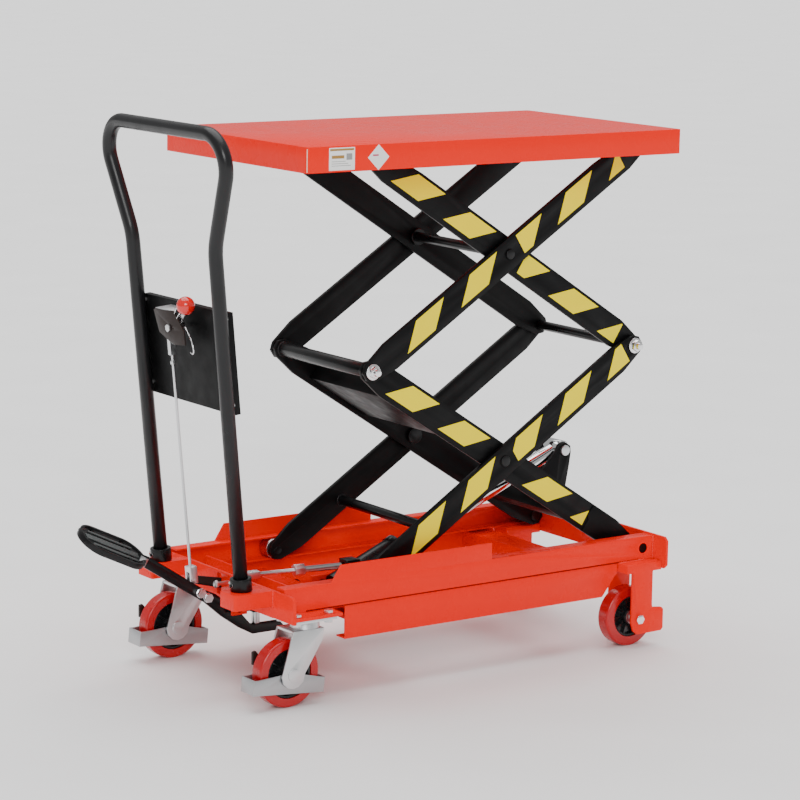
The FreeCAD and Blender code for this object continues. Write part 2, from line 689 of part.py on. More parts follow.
def brake_frame(mark, axle_x, centre_y):
    """A band round the wheel that turns on the axle; the handle end is its foot tab."""
    outside = box("band_out_" + mark, ("160", "46", "30"), ("-3", "0", "-23"))
    inside = box("band_in_" + mark, ("154", "40", "36"), ("-3", "0", "-23"))
    bore = rod("band_bore_" + mark, "wheel_axle+running_gap", "80", ("0", "0", "0"))
    outline = [("-82", "-9"), ("-14", "1"), ("-14", "11"), ("14", "11"), ("14", "1"), ("76", "-9")]
    raised = [shifted(plate("band_ear_%s_%d" % (mark, step), "XZ_Plane", outline, "3"), y=str(step * 21.5))
              for step in (-1, 1)]
    band = cut("band_" + mark, fuse("band_body_" + mark, [cut("band_ring_" + mark, outside, [inside])] + raised),
               [bore])
    tilt(band, axle_x, "caster_radius", "5", FALLING)
    bind(band, "Placement.Base.y", centre_y)
    keep("brake_frame_" + mark, band)


def caster_plates():
    sheet_z = "channel_low-6-2.5"
    near = box("top_sheet", ("93", "84", "5"), ("caster_x+1", "-caster_y", sheet_z))
    holes = [rod("top_hole_%d" % index, "5.2", "20", (x, y, sheet_z), "Z")
             for index, (x, y) in enumerate(caster_bolt_places(-1))]
    ring = rod("top_ring", "36", "2", ("caster_x", "-caster_y", "channel_low-12"), "Z")
    keep_pair("caster_top_plates", cut("top_plate", fuse("top_body", [near, ring]), holes))


def frame_fasteners():
    parts = []
    for side in (-1, 1):
        for index, (x, y) in enumerate(caster_bolt_places(side)):
            mark = "bolt_%s_%d" % ("near" if side < 0 else "far", index)
            shank = rod(mark + "_shank", "5.2", "18", (x, y, "channel_low-9"), "Z")
            head = hexagon(mark + "_head", "17", "6", (x, y, "channel_low+3"), "Z")
            nut = hexagon(mark + "_nut", "16", "7", (x, y, "channel_low-14.5"), "Z")
            clear = abs(number(y)) > number("side_face+2")
            parts.append(fuse(mark, [shank, nut] + ([head] if clear else [])))
    stop = rod("stop_thread", "4", "31", ("end_x-15.5", "-24", "205"), "X")
    stop_head = hexagon("stop_head", "13", "6", ("end_x-30", "-24", "205"), "X")
    parts.append(fuse("stop_bolt", [stop, stop_head]))
    keep("frame_fasteners", group("frame_fastener_set", parts))


# Handle ------------------------------------------------------------------------------------

def lean(thing):
    """Put a piece drawn in the handle's own frame (X out of its plane, Z up along it)."""
    return tilt(thing, "post_x", "post_z", "handle_lean", RISING)


def rounded_path(points, radii):
    """Straight runs joined by tangent arcs, as one wire."""
    edges = []
    start = points[0]
    for before, corner, after, radius in zip(points, points[1:], points[2:], radii):
        inward = (before - corner).normalize()
        onward = (after - corner).normalize()
        turn = math.pi - inward.getAngle(onward)
        run = radius * math.tan(turn / 2)
        first = corner + inward * run
        last = corner + onward * run
        middle = (inward + onward).normalize()
        centre = corner + middle * math.hypot(radius, run)
        edges.append(Part.LineSegment(start, first).toShape())
        edges.append(Part.Arc(first, centre - middle * radius, last).toShape())
        start = last
    edges.append(Part.LineSegment(start, points[-1]).toShape())
    return Part.Wire(edges)


def handle_tube():
    """One bent tube: two posts that flare out above a kink and meet in a top bar."""
    foot = size("post_y")
    kink = Vector(0, foot + 3, size("kink_rise"))
    flare = Vector(0, foot + 95, size("grip_rise"))
    points = [Vector(0, foot, 0), kink, flare]
    points += [Vector(0, -point.y, point.z) for point in reversed(points)]
    path = rounded_path(points, [120, 60, 60, 120])
    section = Part.Wire(Part.Circle(points[0], Vector(0, 0, 1), size("tube_radius")).toShape())
    tube = doc.addObject("Part::Feature", "HandleTube")
    tube.Shape = path.makePipeShell([section], True, False)
    keep("handle_tube", lean(tube))


def handle_fittings():
    collars = []
    for side in (-1, 1):
        mark = "near" if side < 0 else "far"
        y = "%d*post_y" % side
        outside = rod("collar_" + mark, "21", "26", ("0", y, "13"), "Z")
        bore = rod("collar_bore_" + mark, "tube_radius+0.25", "60", ("0", y, "13"), "Z")
        ring = cut("collar_ring_" + mark, outside, [bore])
        screw = rod("collar_screw_" + mark, "3.5", "5", ("-23", y, "15"), "X")
        collars += [ring, screw]
    keep("handle_collars", lean(group("collars", collars)))
    middle = "(343+540)/2"
    face = box("plate_face", ("2.5", "306", "197"), ("tube_radius+1.35", "0", middle))
    lips = [box("plate_lip_%d" % z, ("14", "306", "2.5"), ("tube_radius+7.1", "0", str(z)))
            for z in (344, 539)]
    sides = [box("plate_side_%d" % side, ("14", "2.5", "197"), ("tube_radius+7.1", side * 151.75, middle))
             for side in (-1, 1)]
    keep("lever_plate", lean(fuse("plate_body", [face] + lips + sides)))


def lever_bracket():
    """Bent sheet that carries the hand lever in front of the plate."""
    corners = [("54", "528"), ("-20", "534"), ("-54", "498"), ("-54", "471"), ("-10", "467"), ("39", "485")]
    face = plate("bracket_face", "YZ_Plane", corners, "2.5", [("5", "-1", "498.5")])
    shifted(face, x="-22.5")
    roof = box("bracket_roof", ("37", "70", "2.5"), ("-4.4", "15", "529.5"))
    keep("lever_bracket", lean(fuse("bracket_body", [face, roof])))


def release_lever():
    """Hand lever on a bolt, with the red ball on one end and the pull rod on the other."""
    corners = [("-9", "490"), ("-60", "540"), ("-52", "550"), ("-3", "508"), ("24", "482"), ("21", "470"),
               ("8", "470")]
    arm = plate("lever_arm", "YZ_Plane", corners, "4", [("3.3", "release_y+0.6", "477.4")])
    shifted(arm, x="-14")
    bolt = rod("lever_bolt", "4.9", "36", ("-9", "-1", "498.5"), "X")
    head = hexagon("lever_head", "13", "5", ("-27", "-1", "498.5"), "X")
    keep("release_lever", lean(fuse("lever_body", [arm, bolt, head])))
    knob = ball("knob_ball", "17.8", ("-14", "-52", "546.5"))
    slot = box("knob_slot", ("4", "40", "26"), ("-14", "-46", "540"))
    keep("ball_knob", lean(cut("knob", knob, [slot])))


def pull_rod():
    """Rod with a clevis at each end and a lock nut below the upper one."""
    y = "release_y+0.6"
    bar = rod("pull_bar", "2.8", "444", ("-14", y, "237"), "Z")
    upper = box("upper_clevis", ("12", "10", "43"), ("-14", y, "463.5"))
    gap = box("upper_gap", ("4.4", "40", "34"), ("-14", y, "480"))
    pin = rod("upper_pin", "3", "14", ("-14", y, "477.4"), "X")
    nut = hexagon("pull_nut", "10", "6", ("-14", y, "427"), "Z")
    lower = box("lower_clevis", ("16", "20", "34"), ("-14", y + "-2.5", "2"))
    lower_gap = box("lower_gap", ("60", "12", "34"), ("-14", y + "-2.5", "-9"))
    lower_pin = rod("lower_pin", "3", "24", ("-14", y + "-2.5", "-8"), "Y")
    body = cut("pull_body", fuse("pull_solid", [bar, upper, lower]), [gap, lower_gap])
    keep("pull_rod", lean(fuse("pull_set", [body, pin, nut, lower_pin])))


def along_link(thing):
    """Put a piece drawn along X from the crank's eye on the skewed line to the valve."""
    holder = group(thing.Label + "_set", [thing])
    holder.Placement = Placement(Vector(), Rotation(Vector(0, 0, -1), 8))
    bind_place(holder, ("crank_x", "link_y", "link_z"))
    bind(holder, "Placement.Rotation.Angle", "link_skew")
    return holder


def release_crank():
    """Cross shaft with one arm out to the pull rod and one arm up to the link rod."""
    slope = math.radians(number("handle_lean"))
    pin_x = number("post_x") - 14 * math.cos(slope) + 8 * math.sin(slope)
    pin_z = number("post_z") - 14 * math.sin(slope) - 8 * math.cos(slope)
    corners = [("crank_x", "crank_z-11"), ("crank_x+9", "crank_z"), ("crank_x", "crank_z+11"),
               (str(pin_x), str(pin_z + 8)), (str(pin_x - 8), str(pin_z)), (str(pin_x), str(pin_z - 8))]
    outer = plate("crank_outer", "XZ_Plane", corners, "5", [("4.6", str(pin_x), str(pin_z))])
    shifted(outer, y="release_y+0.6")
    shaft = rod("crank_shaft", "6", "86", ("crank_x", "-12", "crank_z"))
    inner = box("crank_inner", ("14", "6", "38"), ("crank_x", "link_y", "crank_z+15"))
    hole = box("crank_eye", ("8.4", "10", "8.4"), ("crank_x", "link_y", "link_z"))
    keep("release_crank", cut("crank", fuse("crank_body", [outer, shaft, inner]), [hole]))


def link_rod():
    """Rod inside the base from the crank to the valve: thin part, coupling nut, thick part."""
    clevis = box("link_clevis", ("34", "18", "14"), ("7", "0", "0"))
    gap = box("link_gap", ("40", "10", "20"), ("-8", "0", "0"))
    pin = rod("link_pin", "3.5", "18", ("0", "0", "0"))
    thin = rod("link_thin", "4.5", "78", ("62", "0", "0"), "X")
    nut = hexagon("link_nut", "21", "22", ("111", "0", "0"), "X")
    thick = rod("link_thick", "6.5", "82", ("162", "0", "0"), "X")
    body = fuse("link_solid", [cut("link_fork", clevis, [gap]), pin, thin, nut, thick])
    keep("link_rod", along_link(body))


# Pedal -------------------------------------------------------------------------------------

def pedal():
    """Bent lever under the end plate and the bolted arm with its loop pad."""
    corners = [("-378", "196"), ("-364", "202"), ("-318", "180"), ("-290", "158"), ("-264", "158"),
               ("-256", "130"), ("-236", "108"), ("-170", "107"), ("-160", "98"), ("-166", "88"),
               ("-232", "88"), ("-262", "104"), ("-302", "132"), ("-330", "156")]
    lever = plate("pedal_plate", "XZ_Plane", corners, "10", [("7.05", "pedal_x", "pedal_z")])
    shifted(lever, y="-2")
    bolts = []
    for x, z in ((-358, 189), (-342, 178)):
        bolts.append(hexagon("pedal_bolt_%d" % -x, "15", "5", (str(x), "-17.5", str(z))))
        bolts.append(rod("pedal_shank_%d" % -x, "4", "16", (str(x), "-8", str(z))))
    keep("pedal_lever", fuse("pedal_lever_set", [lever] + bolts))

    corners = [("-300", "148"), ("-293", "162"), ("-339", "188"), ("-474", "276"), ("-492", "284"),
               ("-499", "270"), ("-486", "257"), ("-350", "170")]
    arm = plate("pedal_arm", "XZ_Plane", corners, "8", [("4", "-358", "189"), ("4", "-342", "178")])
    shifted(arm, y="-11")
    keep("pedal_pad", fuse("pedal_pad_set", [arm, loop_pad()]))


def loop_pad():
    """A flat oval loop on edge, round a tread plate with two slots."""
    length = 154
    width = 84
    strip = 5
    straight = length - width
    loop = slot_prism("pad_out", straight, width / 2, 12)
    space = slot_prism("pad_in", straight, width / 2 - strip, 60)
    tread = box("pad_tread", (str(length - 10), "44", "4"), ("0", "0", "4"))
    windows = [box("pad_window_%d" % side, (str(straight + 20), "9", "20"), ("4", side * 12, "4"))
               for side in (-1, 1)]
    bars = [box("pad_bar_%d" % x, ("8", str(width - 2), "4"), (str(x), "0", "4")) for x in (-36, 36)]
    body = fuse("pad_body", [cut("pad_loop", loop, [space]), cut("pad_plate", tread, windows)] + bars)
    slope = Rotation(Vector(0, 1, 0), 25.4)
    roll = Rotation(Vector(1, 0, 0), 25)
    body.Placement = Placement(Vector(-553, -6, 299.5), slope.multiply(roll))
    return body


def slot_prism(name, straight, radius, height):
    middle = box(name + "_mid", (str(straight), str(2 * radius), str(height)), ("0", "0", "4"))
    ends = [rod("%s_end_%d" % (name, side), str(radius), str(height), (str(side * straight / 2), "0", "4"), "Z")
            for side in (-1, 1)]
    return fuse(name, [middle] + ends)


# Ram ---------------------------------------------------------------------------------------

def ram():
    """Barrel on the base and rod on the ears, both lying along the line between their pins."""
    fall = math.radians(number("lift_angle"))
    centre_x = number(CENTRE_X)
    centre_z = number(LOWER_Z)
    along = number("ear_along")
    across = number("ear_across")
    ear_x = centre_x + along * math.cos(fall) + across * math.sin(fall)
    ear_z = centre_z - along * math.sin(fall) + across * math.cos(fall)
    angle = math.degrees(math.atan2(ear_z - number("foot_z"), ear_x - number("foot_x")))
    tube = rod("barrel_tube", "barrel_radius", "barrel_mouth-12", ("(barrel_mouth+12)/2", "0", "0"), "X")
    gland = rod("barrel_gland", "barrel_radius+2", "16", ("barrel_mouth-8", "0", "0"), "X")
    eye = rod("barrel_eye", "18", "58", ("0", "0", "0"))
    bore = rod("barrel_hollow", "barrel_bore", "barrel_mouth", ("barrel_mouth/2+23", "0", "0"), "X")
    hole = rod("barrel_hole", "10+running_gap", "60", ("0", "0", "0"))
    barrel = cut("barrel", fuse("barrel_set", [tube, gland, eye]), [bore, hole])
    keep("ram_barrel", tilt(barrel, "foot_x", "foot_z", str(angle), RISING))
    bar = rod("rod_bar", "rod_radius", "rod_reach-14", ("-(rod_reach+14)/2", "0", "0"), "X")
    end = rod("rod_end", "19", "42", ("0", "0", "0"))
    pin_hole = rod("rod_hole", "pin_radius+running_gap", "60", ("0", "0", "0"))
    piece = cut("ram_bar", fuse("ram_bar_set", [bar, end]), [pin_hole])
    keep("ram_rod", tilt(piece, str(ear_x), str(ear_z), str(angle), RISING))
    print("ram angle %.3f, ear pin at %.3f, %.3f" % (angle, ear_x, ear_z))


def build():
    lower_inner()
    lower_outer()
    upper_outer()
    upper_inner()
    rollers()
    deck()
    for side in (-1, 1):
        side_channel(side)
    skirt_channels()
    end_plates()
    floor_and_beams()
    wheel_brackets()
    handle_supports()
    frame_pins()
    under_brackets()
    pump()
    for side in (-1, 1):
        swivel_caster(side)
        mark = "near" if side < 0 else "far"
        wheel("fixed", "fixed_" + mark, "fixed_x", "%d*fixed_y" % side, "wheel_radius", "hub_radius")
    caster_plates()
    frame_fasteners()
    handle_tube()
    handle_fittings()
    lever_bracket()
    release_lever()
    pull_rod()
    release_crank()
    link_rod()
    pedal()
    ram()


def check():
    """Stop if any feature failed or any sub-part isn't a sound solid."""
    doc.recompute()
    for thing in doc.Objects:
        if "Invalid" in thing.State or "Error" in thing.State:
            raise SystemExit("failed feature: %s %s" % (thing.Name, thing.State))
    for label, thing in nodes.items():
        shape = thing.Shape
        if shape.isNull() or not shape.isValid() or not shape.Solids:
            raise SystemExit("unsound sub-part: " + label)


def write():
    os.makedirs("parts", exist_ok=True)
    for label, thing in nodes.items():
        thing.Shape.exportStep("parts/%s.step" % label)
    box_all = Part.makeCompound([thing.Shape for thing in nodes.values()]).BoundBox
    print("%d sub-parts" % len(nodes))
    print("X %.2f to %.2f, Y %.2f to %.2f, Z %.2f to %.2f" % (
        box_all.XMin, box_all.XMax, box_all.YMin, box_all.YMax, box_all.ZMin, box_all.ZMax))


build()
check()
write()
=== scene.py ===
"""Finish and dressing for a mobile double scissor lift table.

Sizes are metres in the table's own frame: Z up from the floor, +X towards the fixed wheels,
-X towards the push handle, -Y the near side.
"""

import json
import math

import bmesh
import bpy
from mathutils import Euler, Matrix, Vector

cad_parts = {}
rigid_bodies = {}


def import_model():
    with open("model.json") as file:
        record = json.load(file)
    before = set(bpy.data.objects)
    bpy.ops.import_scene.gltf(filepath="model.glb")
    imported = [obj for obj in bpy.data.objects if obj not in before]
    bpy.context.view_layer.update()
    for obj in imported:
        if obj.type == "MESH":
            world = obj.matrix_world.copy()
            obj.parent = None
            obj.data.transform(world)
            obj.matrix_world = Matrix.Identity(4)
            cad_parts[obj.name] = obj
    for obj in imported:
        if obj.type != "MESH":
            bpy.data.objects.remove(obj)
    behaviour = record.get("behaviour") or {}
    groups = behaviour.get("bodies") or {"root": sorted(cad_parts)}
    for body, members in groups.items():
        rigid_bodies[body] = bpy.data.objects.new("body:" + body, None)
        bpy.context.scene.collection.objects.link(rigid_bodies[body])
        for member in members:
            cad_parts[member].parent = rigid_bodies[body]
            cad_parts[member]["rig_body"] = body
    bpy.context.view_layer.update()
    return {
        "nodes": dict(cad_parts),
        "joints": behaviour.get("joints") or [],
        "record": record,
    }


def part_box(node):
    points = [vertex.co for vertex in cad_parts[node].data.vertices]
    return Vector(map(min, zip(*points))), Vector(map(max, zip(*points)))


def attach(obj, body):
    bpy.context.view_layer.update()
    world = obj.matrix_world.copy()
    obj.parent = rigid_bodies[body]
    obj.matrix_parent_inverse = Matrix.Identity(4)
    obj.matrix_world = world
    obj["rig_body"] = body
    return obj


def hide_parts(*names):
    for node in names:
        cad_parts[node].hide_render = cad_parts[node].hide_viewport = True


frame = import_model()
nodes = frame["nodes"]
joints = {joint["name"]: joint for joint in frame["joints"]}

MM = 0.001


# Materials ---------------------------------------------------------------------------------

def new_material(name):
    """A node material, with its tree, its shader and the object's own coordinates."""
    material = bpy.data.materials.new(name)
    material.use_nodes = True
    tree = material.node_tree
    shader = tree.nodes["Principled BSDF"]
    place = tree.nodes.new("ShaderNodeTexCoord")
    return material, tree, shader, place.outputs["Object"]


def noise(tree, place, scale, detail=3.0, roughness=0.5):
    grain = tree.nodes.new("ShaderNodeTexNoise")
    grain.inputs["Scale"].default_value = scale
    grain.inputs["Detail"].default_value = detail
    grain.inputs["Roughness"].default_value = roughness
    tree.links.new(place, grain.inputs["Vector"])
    return grain.outputs["Fac"]


def spread(tree, source, low, high, low_at=0.3, high_at=0.7):
    """Map a grain to a range of values."""
    ranger = tree.nodes.new("ShaderNodeMapRange")
    ranger.inputs["From Min"].default_value = low_at
    ranger.inputs["From Max"].default_value = high_at
    ranger.inputs["To Min"].default_value = low
    ranger.inputs["To Max"].default_value = high
    tree.links.new(source, ranger.inputs["Value"])
    return ranger.outputs["Result"]


def tint(tree, source, dark, light, low_at=0.3, high_at=0.7):
    """Map a grain to a run of colour."""
    ramp = tree.nodes.new("ShaderNodeValToRGB")
    ramp.color_ramp.elements[0].position = low_at
    ramp.color_ramp.elements[0].color = (*dark, 1)
    ramp.color_ramp.elements[1].position = high_at
    ramp.color_ramp.elements[1].color = (*light, 1)
    tree.links.new(source, ramp.inputs["Fac"])
    return ramp.outputs["Color"]


def raise_grain(tree, shader, source, strength, depth):
    bump = tree.nodes.new("ShaderNodeBump")
    bump.inputs["Strength"].default_value = strength
    bump.inputs["Distance"].default_value = depth
    tree.links.new(source, bump.inputs["Height"])
    tree.links.new(bump.outputs["Normal"], shader.inputs["Normal"])


def shade(colour, factor):
    return tuple(min(1.0, part * factor) for part in colour)


def coat_of_paint(name, colour, gloss, coat, peel=0.12, change=0.08, shine=0.3):
    """Powder coat: fine orange peel, slight change of tone, and rougher clouds."""
    material, tree, shader, place = new_material(name)
    cloud = noise(tree, place, 9.0)
    base = tint(tree, cloud, shade(colour, 1 - change), shade(colour, 1 + change))
    tree.links.new(base, shader.inputs["Base Color"])
    rough = spread(tree, noise(tree, place, 34.0), gloss * 0.85, gloss * 1.2)
    tree.links.new(rough, shader.inputs["Roughness"])
    shader.inputs["Specular IOR Level"].default_value = shine
    shader.inputs["Coat Weight"].default_value = coat
    shader.inputs["Coat Roughness"].default_value = 0.12
    raise_grain(tree, shader, noise(tree, place, 620.0, 2.0), peel, 0.00035)
    return material


def metal(name, colour, gloss, grain=260.0, depth=0.00012, streak=None, mottling=0.07):
    """Plated or turned metal, mottled, with brushing where it is asked for."""
    material, tree, shader, place = new_material(name)
    shader.inputs["Metallic"].default_value = 1.0
    source = place
    if streak:
        stretch = tree.nodes.new("ShaderNodeMapping")
        stretch.inputs["Scale"].default_value = streak
        tree.links.new(place, stretch.inputs["Vector"])
        source = stretch.outputs["Vector"]
    mottle = noise(tree, source, grain * 0.12, 5.0, 0.65)
    base = tint(tree, mottle, shade(colour, 1 - mottling), shade(colour, 1 + mottling / 2))
    tree.links.new(base, shader.inputs["Base Color"])
    tree.links.new(spread(tree, mottle, gloss * 0.85, gloss * 1.15), shader.inputs["Roughness"])
    raise_grain(tree, shader, noise(tree, source, grain, 3.0), 0.15, depth)
    return material


def moulded(name, colour, gloss, coat=0.0, grain=300.0, depth=0.0003):
    """Moulded plastic or polyurethane with a fine skin."""
    material, tree, shader, place = new_material(name)
    base = tint(tree, noise(tree, place, 22.0, 4.0), shade(colour, 0.9), shade(colour, 1.08))
    tree.links.new(base, shader.inputs["Base Color"])
    tree.links.new(spread(tree, noise(tree, place, 70.0), gloss * 0.85, gloss * 1.2),
                   shader.inputs["Roughness"])
    shader.inputs["Coat Weight"].default_value = coat
    shader.inputs["Coat Roughness"].default_value = 0.08
    raise_grain(tree, shader, noise(tree, place, grain, 2.0), 0.1, depth)
    return material


RED = (0.95, 0.010, 0.0005)
red_paint = coat_of_paint("orange_red_powder", RED, 0.28, 0.0, 0.06, 0.015, 0.12)
black_paint = coat_of_paint("black_satin_powder", (0.004, 0.004, 0.0045), 0.3, 0.08, 0.16, 0.2, 0.25)
tube_paint = coat_of_paint("black_tube_powder", (0.010, 0.010, 0.011), 0.32, 0.1, 0.16, 0.2, 0.3)
arm_paint = coat_of_paint("black_arm_powder", (0.003, 0.003, 0.0033), 0.46, 0.0, 0.16, 0.25, 0.16)
bracket_paint = coat_of_paint("brown_black_paint", (0.020, 0.011, 0.009), 0.45, 0.03, shine=0.25)
yellow_paint = coat_of_paint("hazard_yellow_film", (1.0, 0.80, 0.0), 0.4, 0.0, 0.05, 0.02, 0.08)
label_white = coat_of_paint("label_white_film", (0.9, 0.9, 0.88), 0.38, 0.05, 0.03, 0.02)
label_gold = coat_of_paint("label_ochre_ink", (0.36, 0.2, 0.05), 0.45, 0.0, 0.03, 0.1)
label_red = coat_of_paint("label_red_ink", (0.6, 0.03, 0.12), 0.45, 0.0, 0.03, 0.1)
label_grey = coat_of_paint("label_grey_ink", (0.3, 0.3, 0.3), 0.5, 0.0, 0.03, 0.1)
# Dark red: a painted shadow for the gap under the side channels' bottom edge.
shadow_paint = coat_of_paint("dark_red_painted_shadow_gap", (0.16, 0.003, 0.001), 0.6, 0.0, shine=0.05)
zinc = metal("bright_zinc_plate", (0.72, 0.73, 0.74), 0.36, mottling=0.05)
grey_zinc = metal("dull_zinc_plate", (0.50, 0.51, 0.52), 0.42, mottling=0.06)
bright = metal("bright_fastener_plate", (0.88, 0.88, 0.89), 0.2)
steel = metal("turned_steel", (0.52, 0.52, 0.53), 0.3, 340.0, 0.0001, (1, 9, 1))
chrome = metal("hard_chrome", (0.86, 0.87, 0.88), 0.09, 500.0, 0.00002)
red_tyre = moulded("red_polyurethane", (0.50, 0.001, 0.004), 0.24, 0.12, 240.0, 0.0001)
black_hub = moulded("black_hub_moulding", (0.008, 0.008, 0.009), 0.26, 0.2)
red_ball = moulded("red_ball_phenolic", (0.75, 0.006, 0.004), 0.12, 0.6, 90.0, 0.00005)
grey_tread = moulded("grey_tread_rubber", (0.10, 0.11, 0.11), 0.55, 0.0, 420.0, 0.0003)
# Pale salmon over the red: a painted highlight along the deck's corner seam.
seam_highlight_paint = coat_of_paint("pale_painted_highlight_seam", (0.9, 0.62, 0.48), 0.4, 0.1)
weld_red = coat_of_paint("painted_weld_red", RED, 0.25, 0.2, 0.25)
weld_black = coat_of_paint("painted_weld_black", (0.008, 0.008, 0.009), 0.3, 0.2, 0.25)
# Near black: painted shade standing in for the depth of the base pivot bores.
bore_shade_paint = coat_of_paint("painted_shade_bore", (0.010, 0.002, 0.002), 0.6, 0.0, shine=0.1)


# Shaping -----------------------------------------------------------------------------------

def linked(name, mesh):
    thing = bpy.data.objects.new(name, mesh)
    bpy.context.scene.collection.objects.link(thing)
    return thing


def smooth(mesh, limit=38):
    mesh.shade_smooth()
    mesh.set_sharp_from_angle(angle=math.radians(limit))


def coated(thing, material):
    thing.data.materials.clear()
    thing.data.materials.append(material)
    for face in thing.data.polygons:
        face.material_index = 0
    return thing


def joined(thing, body, slot, *replaced):
    """Say which body a piece moves with and hide the CAD nodes it stands for; the slot, meant to name its
    finish, is not used.
    """
    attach(thing, body)
    if replaced:
        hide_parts(*replaced)
    return thing


def flatten(thing):
    """Bake a piece's modifiers into a plain mesh."""
    bpy.context.view_layer.update()
    made = bpy.data.meshes.new_from_object(thing.evaluated_get(bpy.context.evaluated_depsgraph_get()))
    thing.modifiers.clear()
    thing.data = made
    return thing


def eased(node, width, material):
    """A copy of a CAD node with merged faces and rounded edges, which takes the node's place."""
    source = nodes[node]
    body = source["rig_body"]
    mesh = source.data.copy()
    shape = bmesh.new()
    shape.from_mesh(mesh)
    bmesh.ops.remove_doubles(shape, verts=shape.verts, dist=0.00002)
    bmesh.ops.dissolve_degenerate(shape, edges=shape.edges, dist=0.00001)
    if width:
        flat = math.radians(0.6)
        bmesh.ops.dissolve_limit(shape, angle_limit=flat, verts=shape.verts, edges=shape.edges)
    shape.to_mesh(mesh)
    shape.free()
    thing = linked(node + "_eased", mesh)
    if width:
        rounding = thing.modifiers.new("Eased edges", "BEVEL")
        rounding.width = width
        rounding.segments = 2
        rounding.limit_method = "ANGLE"
        rounding.angle_limit = math.radians(32)
        rounding.use_clamp_overlap = True
        rounding.miter_outer = "MITER_ARC"
        flatten(thing)
    smooth(thing.data)
    coated(thing, material)
    slot = next(part["material_slot"] for part in frame["record"]["subparts"] if part["node"] == node)
    return joined(thing, body, slot, node)


def slab(name, outline, thickness, place, material, bevel=0.0):
    """A flat plate from its outline, then put where it goes."""
    shape = bmesh.new()
    face = shape.faces.new([shape.verts.new((x, y, 0)) for x, y in outline])
    grown = bmesh.ops.extrude_face_region(shape, geom=[face])
    risen = [item for item in grown["geom"] if isinstance(item, bmesh.types.BMVert)]
    bmesh.ops.translate(shape, verts=risen, vec=(0, 0, thickness))
    bmesh.ops.recalc_face_normals(shape, faces=shape.faces)
    bmesh.ops.transform(shape, matrix=place, verts=shape.verts)
    mesh = bpy.data.meshes.new(name)
    shape.to_mesh(mesh)
    shape.free()
    thing = linked(name, mesh)
    if bevel:
        rounding = thing.modifiers.new("Eased edges", "BEVEL")
        rounding.width = bevel
        rounding.segments = 2
        flatten(thing)
    smooth(thing.data)
    return coated(thing, material)


def turned(name, profile, place, material, steps=64):
    """A turned piece from its (radius, height) profile about Z, then put where it goes."""
    shape = bmesh.new()
    rings = []
    for radius, height in profile:
        if radius < 1e-6:
            rings.append([shape.verts.new((0, 0, height))])
            continue
        rings.append([shape.verts.new((radius * math.cos(2 * math.pi * step / steps),
                                       radius * math.sin(2 * math.pi * step / steps), height))
                      for step in range(steps)])
    for low, high in zip(rings, rings[1:]):
        for step in range(steps):
            after = (step + 1) % steps
            corners = [low[step % len(low)], low[after % len(low)], high[after % len(high)],
                       high[step % len(high)]]
            corners = list(dict.fromkeys(corners))
            if len(corners) > 2:
                shape.faces.new(corners)
    for ring in (rings[0], rings[-1]):
        if len(ring) > 1 and profile[0] != profile[-1]:
            shape.faces.new(ring)
    bmesh.ops.remove_doubles(shape, verts=shape.verts, dist=1e-7)
    bmesh.ops.recalc_face_normals(shape, faces=shape.faces)
    bmesh.ops.transform(shape, matrix=place, verts=shape.verts)
    mesh = bpy.data.meshes.new(name)
    shape.to_mesh(mesh)
    shape.free()
    smooth(mesh, 32)
    return coated(linked(name, mesh), material)


def wire(name, points, radius, material, closed=False):
    """Round bar bent through points."""
    curve = bpy.data.curves.new(name, "CURVE")
    curve.dimensions = "3D"
    curve.bevel_depth = radius
    curve.bevel_resolution = 5
    curve.use_fill_caps = True
    spline = curve.splines.new("NURBS")
    spline.points.add(len(points) - 1)
    for point, spot in zip(spline.points, points):
        point.co = (*spot, 1)
    spline.order_u = 3
    spline.use_endpoint_u = True
    spline.use_cyclic_u = closed
    spline.resolution_u = 8
    holder = linked(name + "_path", curve)
    bpy.context.view_layer.update()
    mesh = bpy.data.meshes.new_from_object(holder.evaluated_get(bpy.context.evaluated_depsgraph_get()))
    bpy.data.objects.remove(holder)
    smooth(mesh, 50)
    return coated(linked(name, mesh), material)


# Geometry Nodes ----------------------------------------------------------------------------

class Recipe:
    """A Geometry Nodes tree with named inputs, used as a modifier and then made a plain mesh."""

    def __init__(self, name, inputs):
        self.tree = bpy.data.node_groups.new(name, "GeometryNodeTree")
        face = self.tree.interface
        face.new_socket("Geometry", in_out="INPUT", socket_type="NodeSocketGeometry")
        self.sockets = {}
        for label, kind, value in inputs:
            socket = face.new_socket(label, in_out="INPUT", socket_type="NodeSocket" + kind)
            if value is not None:
                socket.default_value = value
            self.sockets[label] = socket.identifier
        face.new_socket("Geometry", in_out="OUTPUT", socket_type="NodeSocketGeometry")
        self.start = self.tree.nodes.new("NodeGroupInput")
        self.end = self.tree.nodes.new("NodeGroupOutput")

    def node(self, kind, feeds=(), **settings):
        made = self.tree.nodes.new(kind)
        for key, value in settings.items():
            setattr(made, key, value)
        for socket, source in dict(feeds).items():
            if isinstance(source, bpy.types.NodeSocket):
                self.tree.links.new(source, made.inputs[socket])
            else:
                made.inputs[socket].default_value = source
        return made

    def given(self, label):
        return self.start.outputs[label]

    def close(self, geometry):
        """Finish with real faces and a material."""
        real = self.node("GeometryNodeRealizeInstances", {"Geometry": geometry})
        paint = self.node("GeometryNodeSetMaterial",
                          {"Geometry": real.outputs["Geometry"], "Material": self.given("Finish")})
        self.tree.links.new(paint.outputs["Geometry"], self.end.inputs["Geometry"])

    def make(self, name, base, material, limit=38, **values):
        thing = linked(name, base)
        change = thing.modifiers.new("Recipe", "NODES")
        change.node_group = self.tree
        change[self.sockets["Finish"]] = material
        for label, value in values.items():
            change[self.sockets[label.replace("_", " ")]] = value
        flatten(thing)
        smooth(thing.data, limit)
        return coated(thing, material)


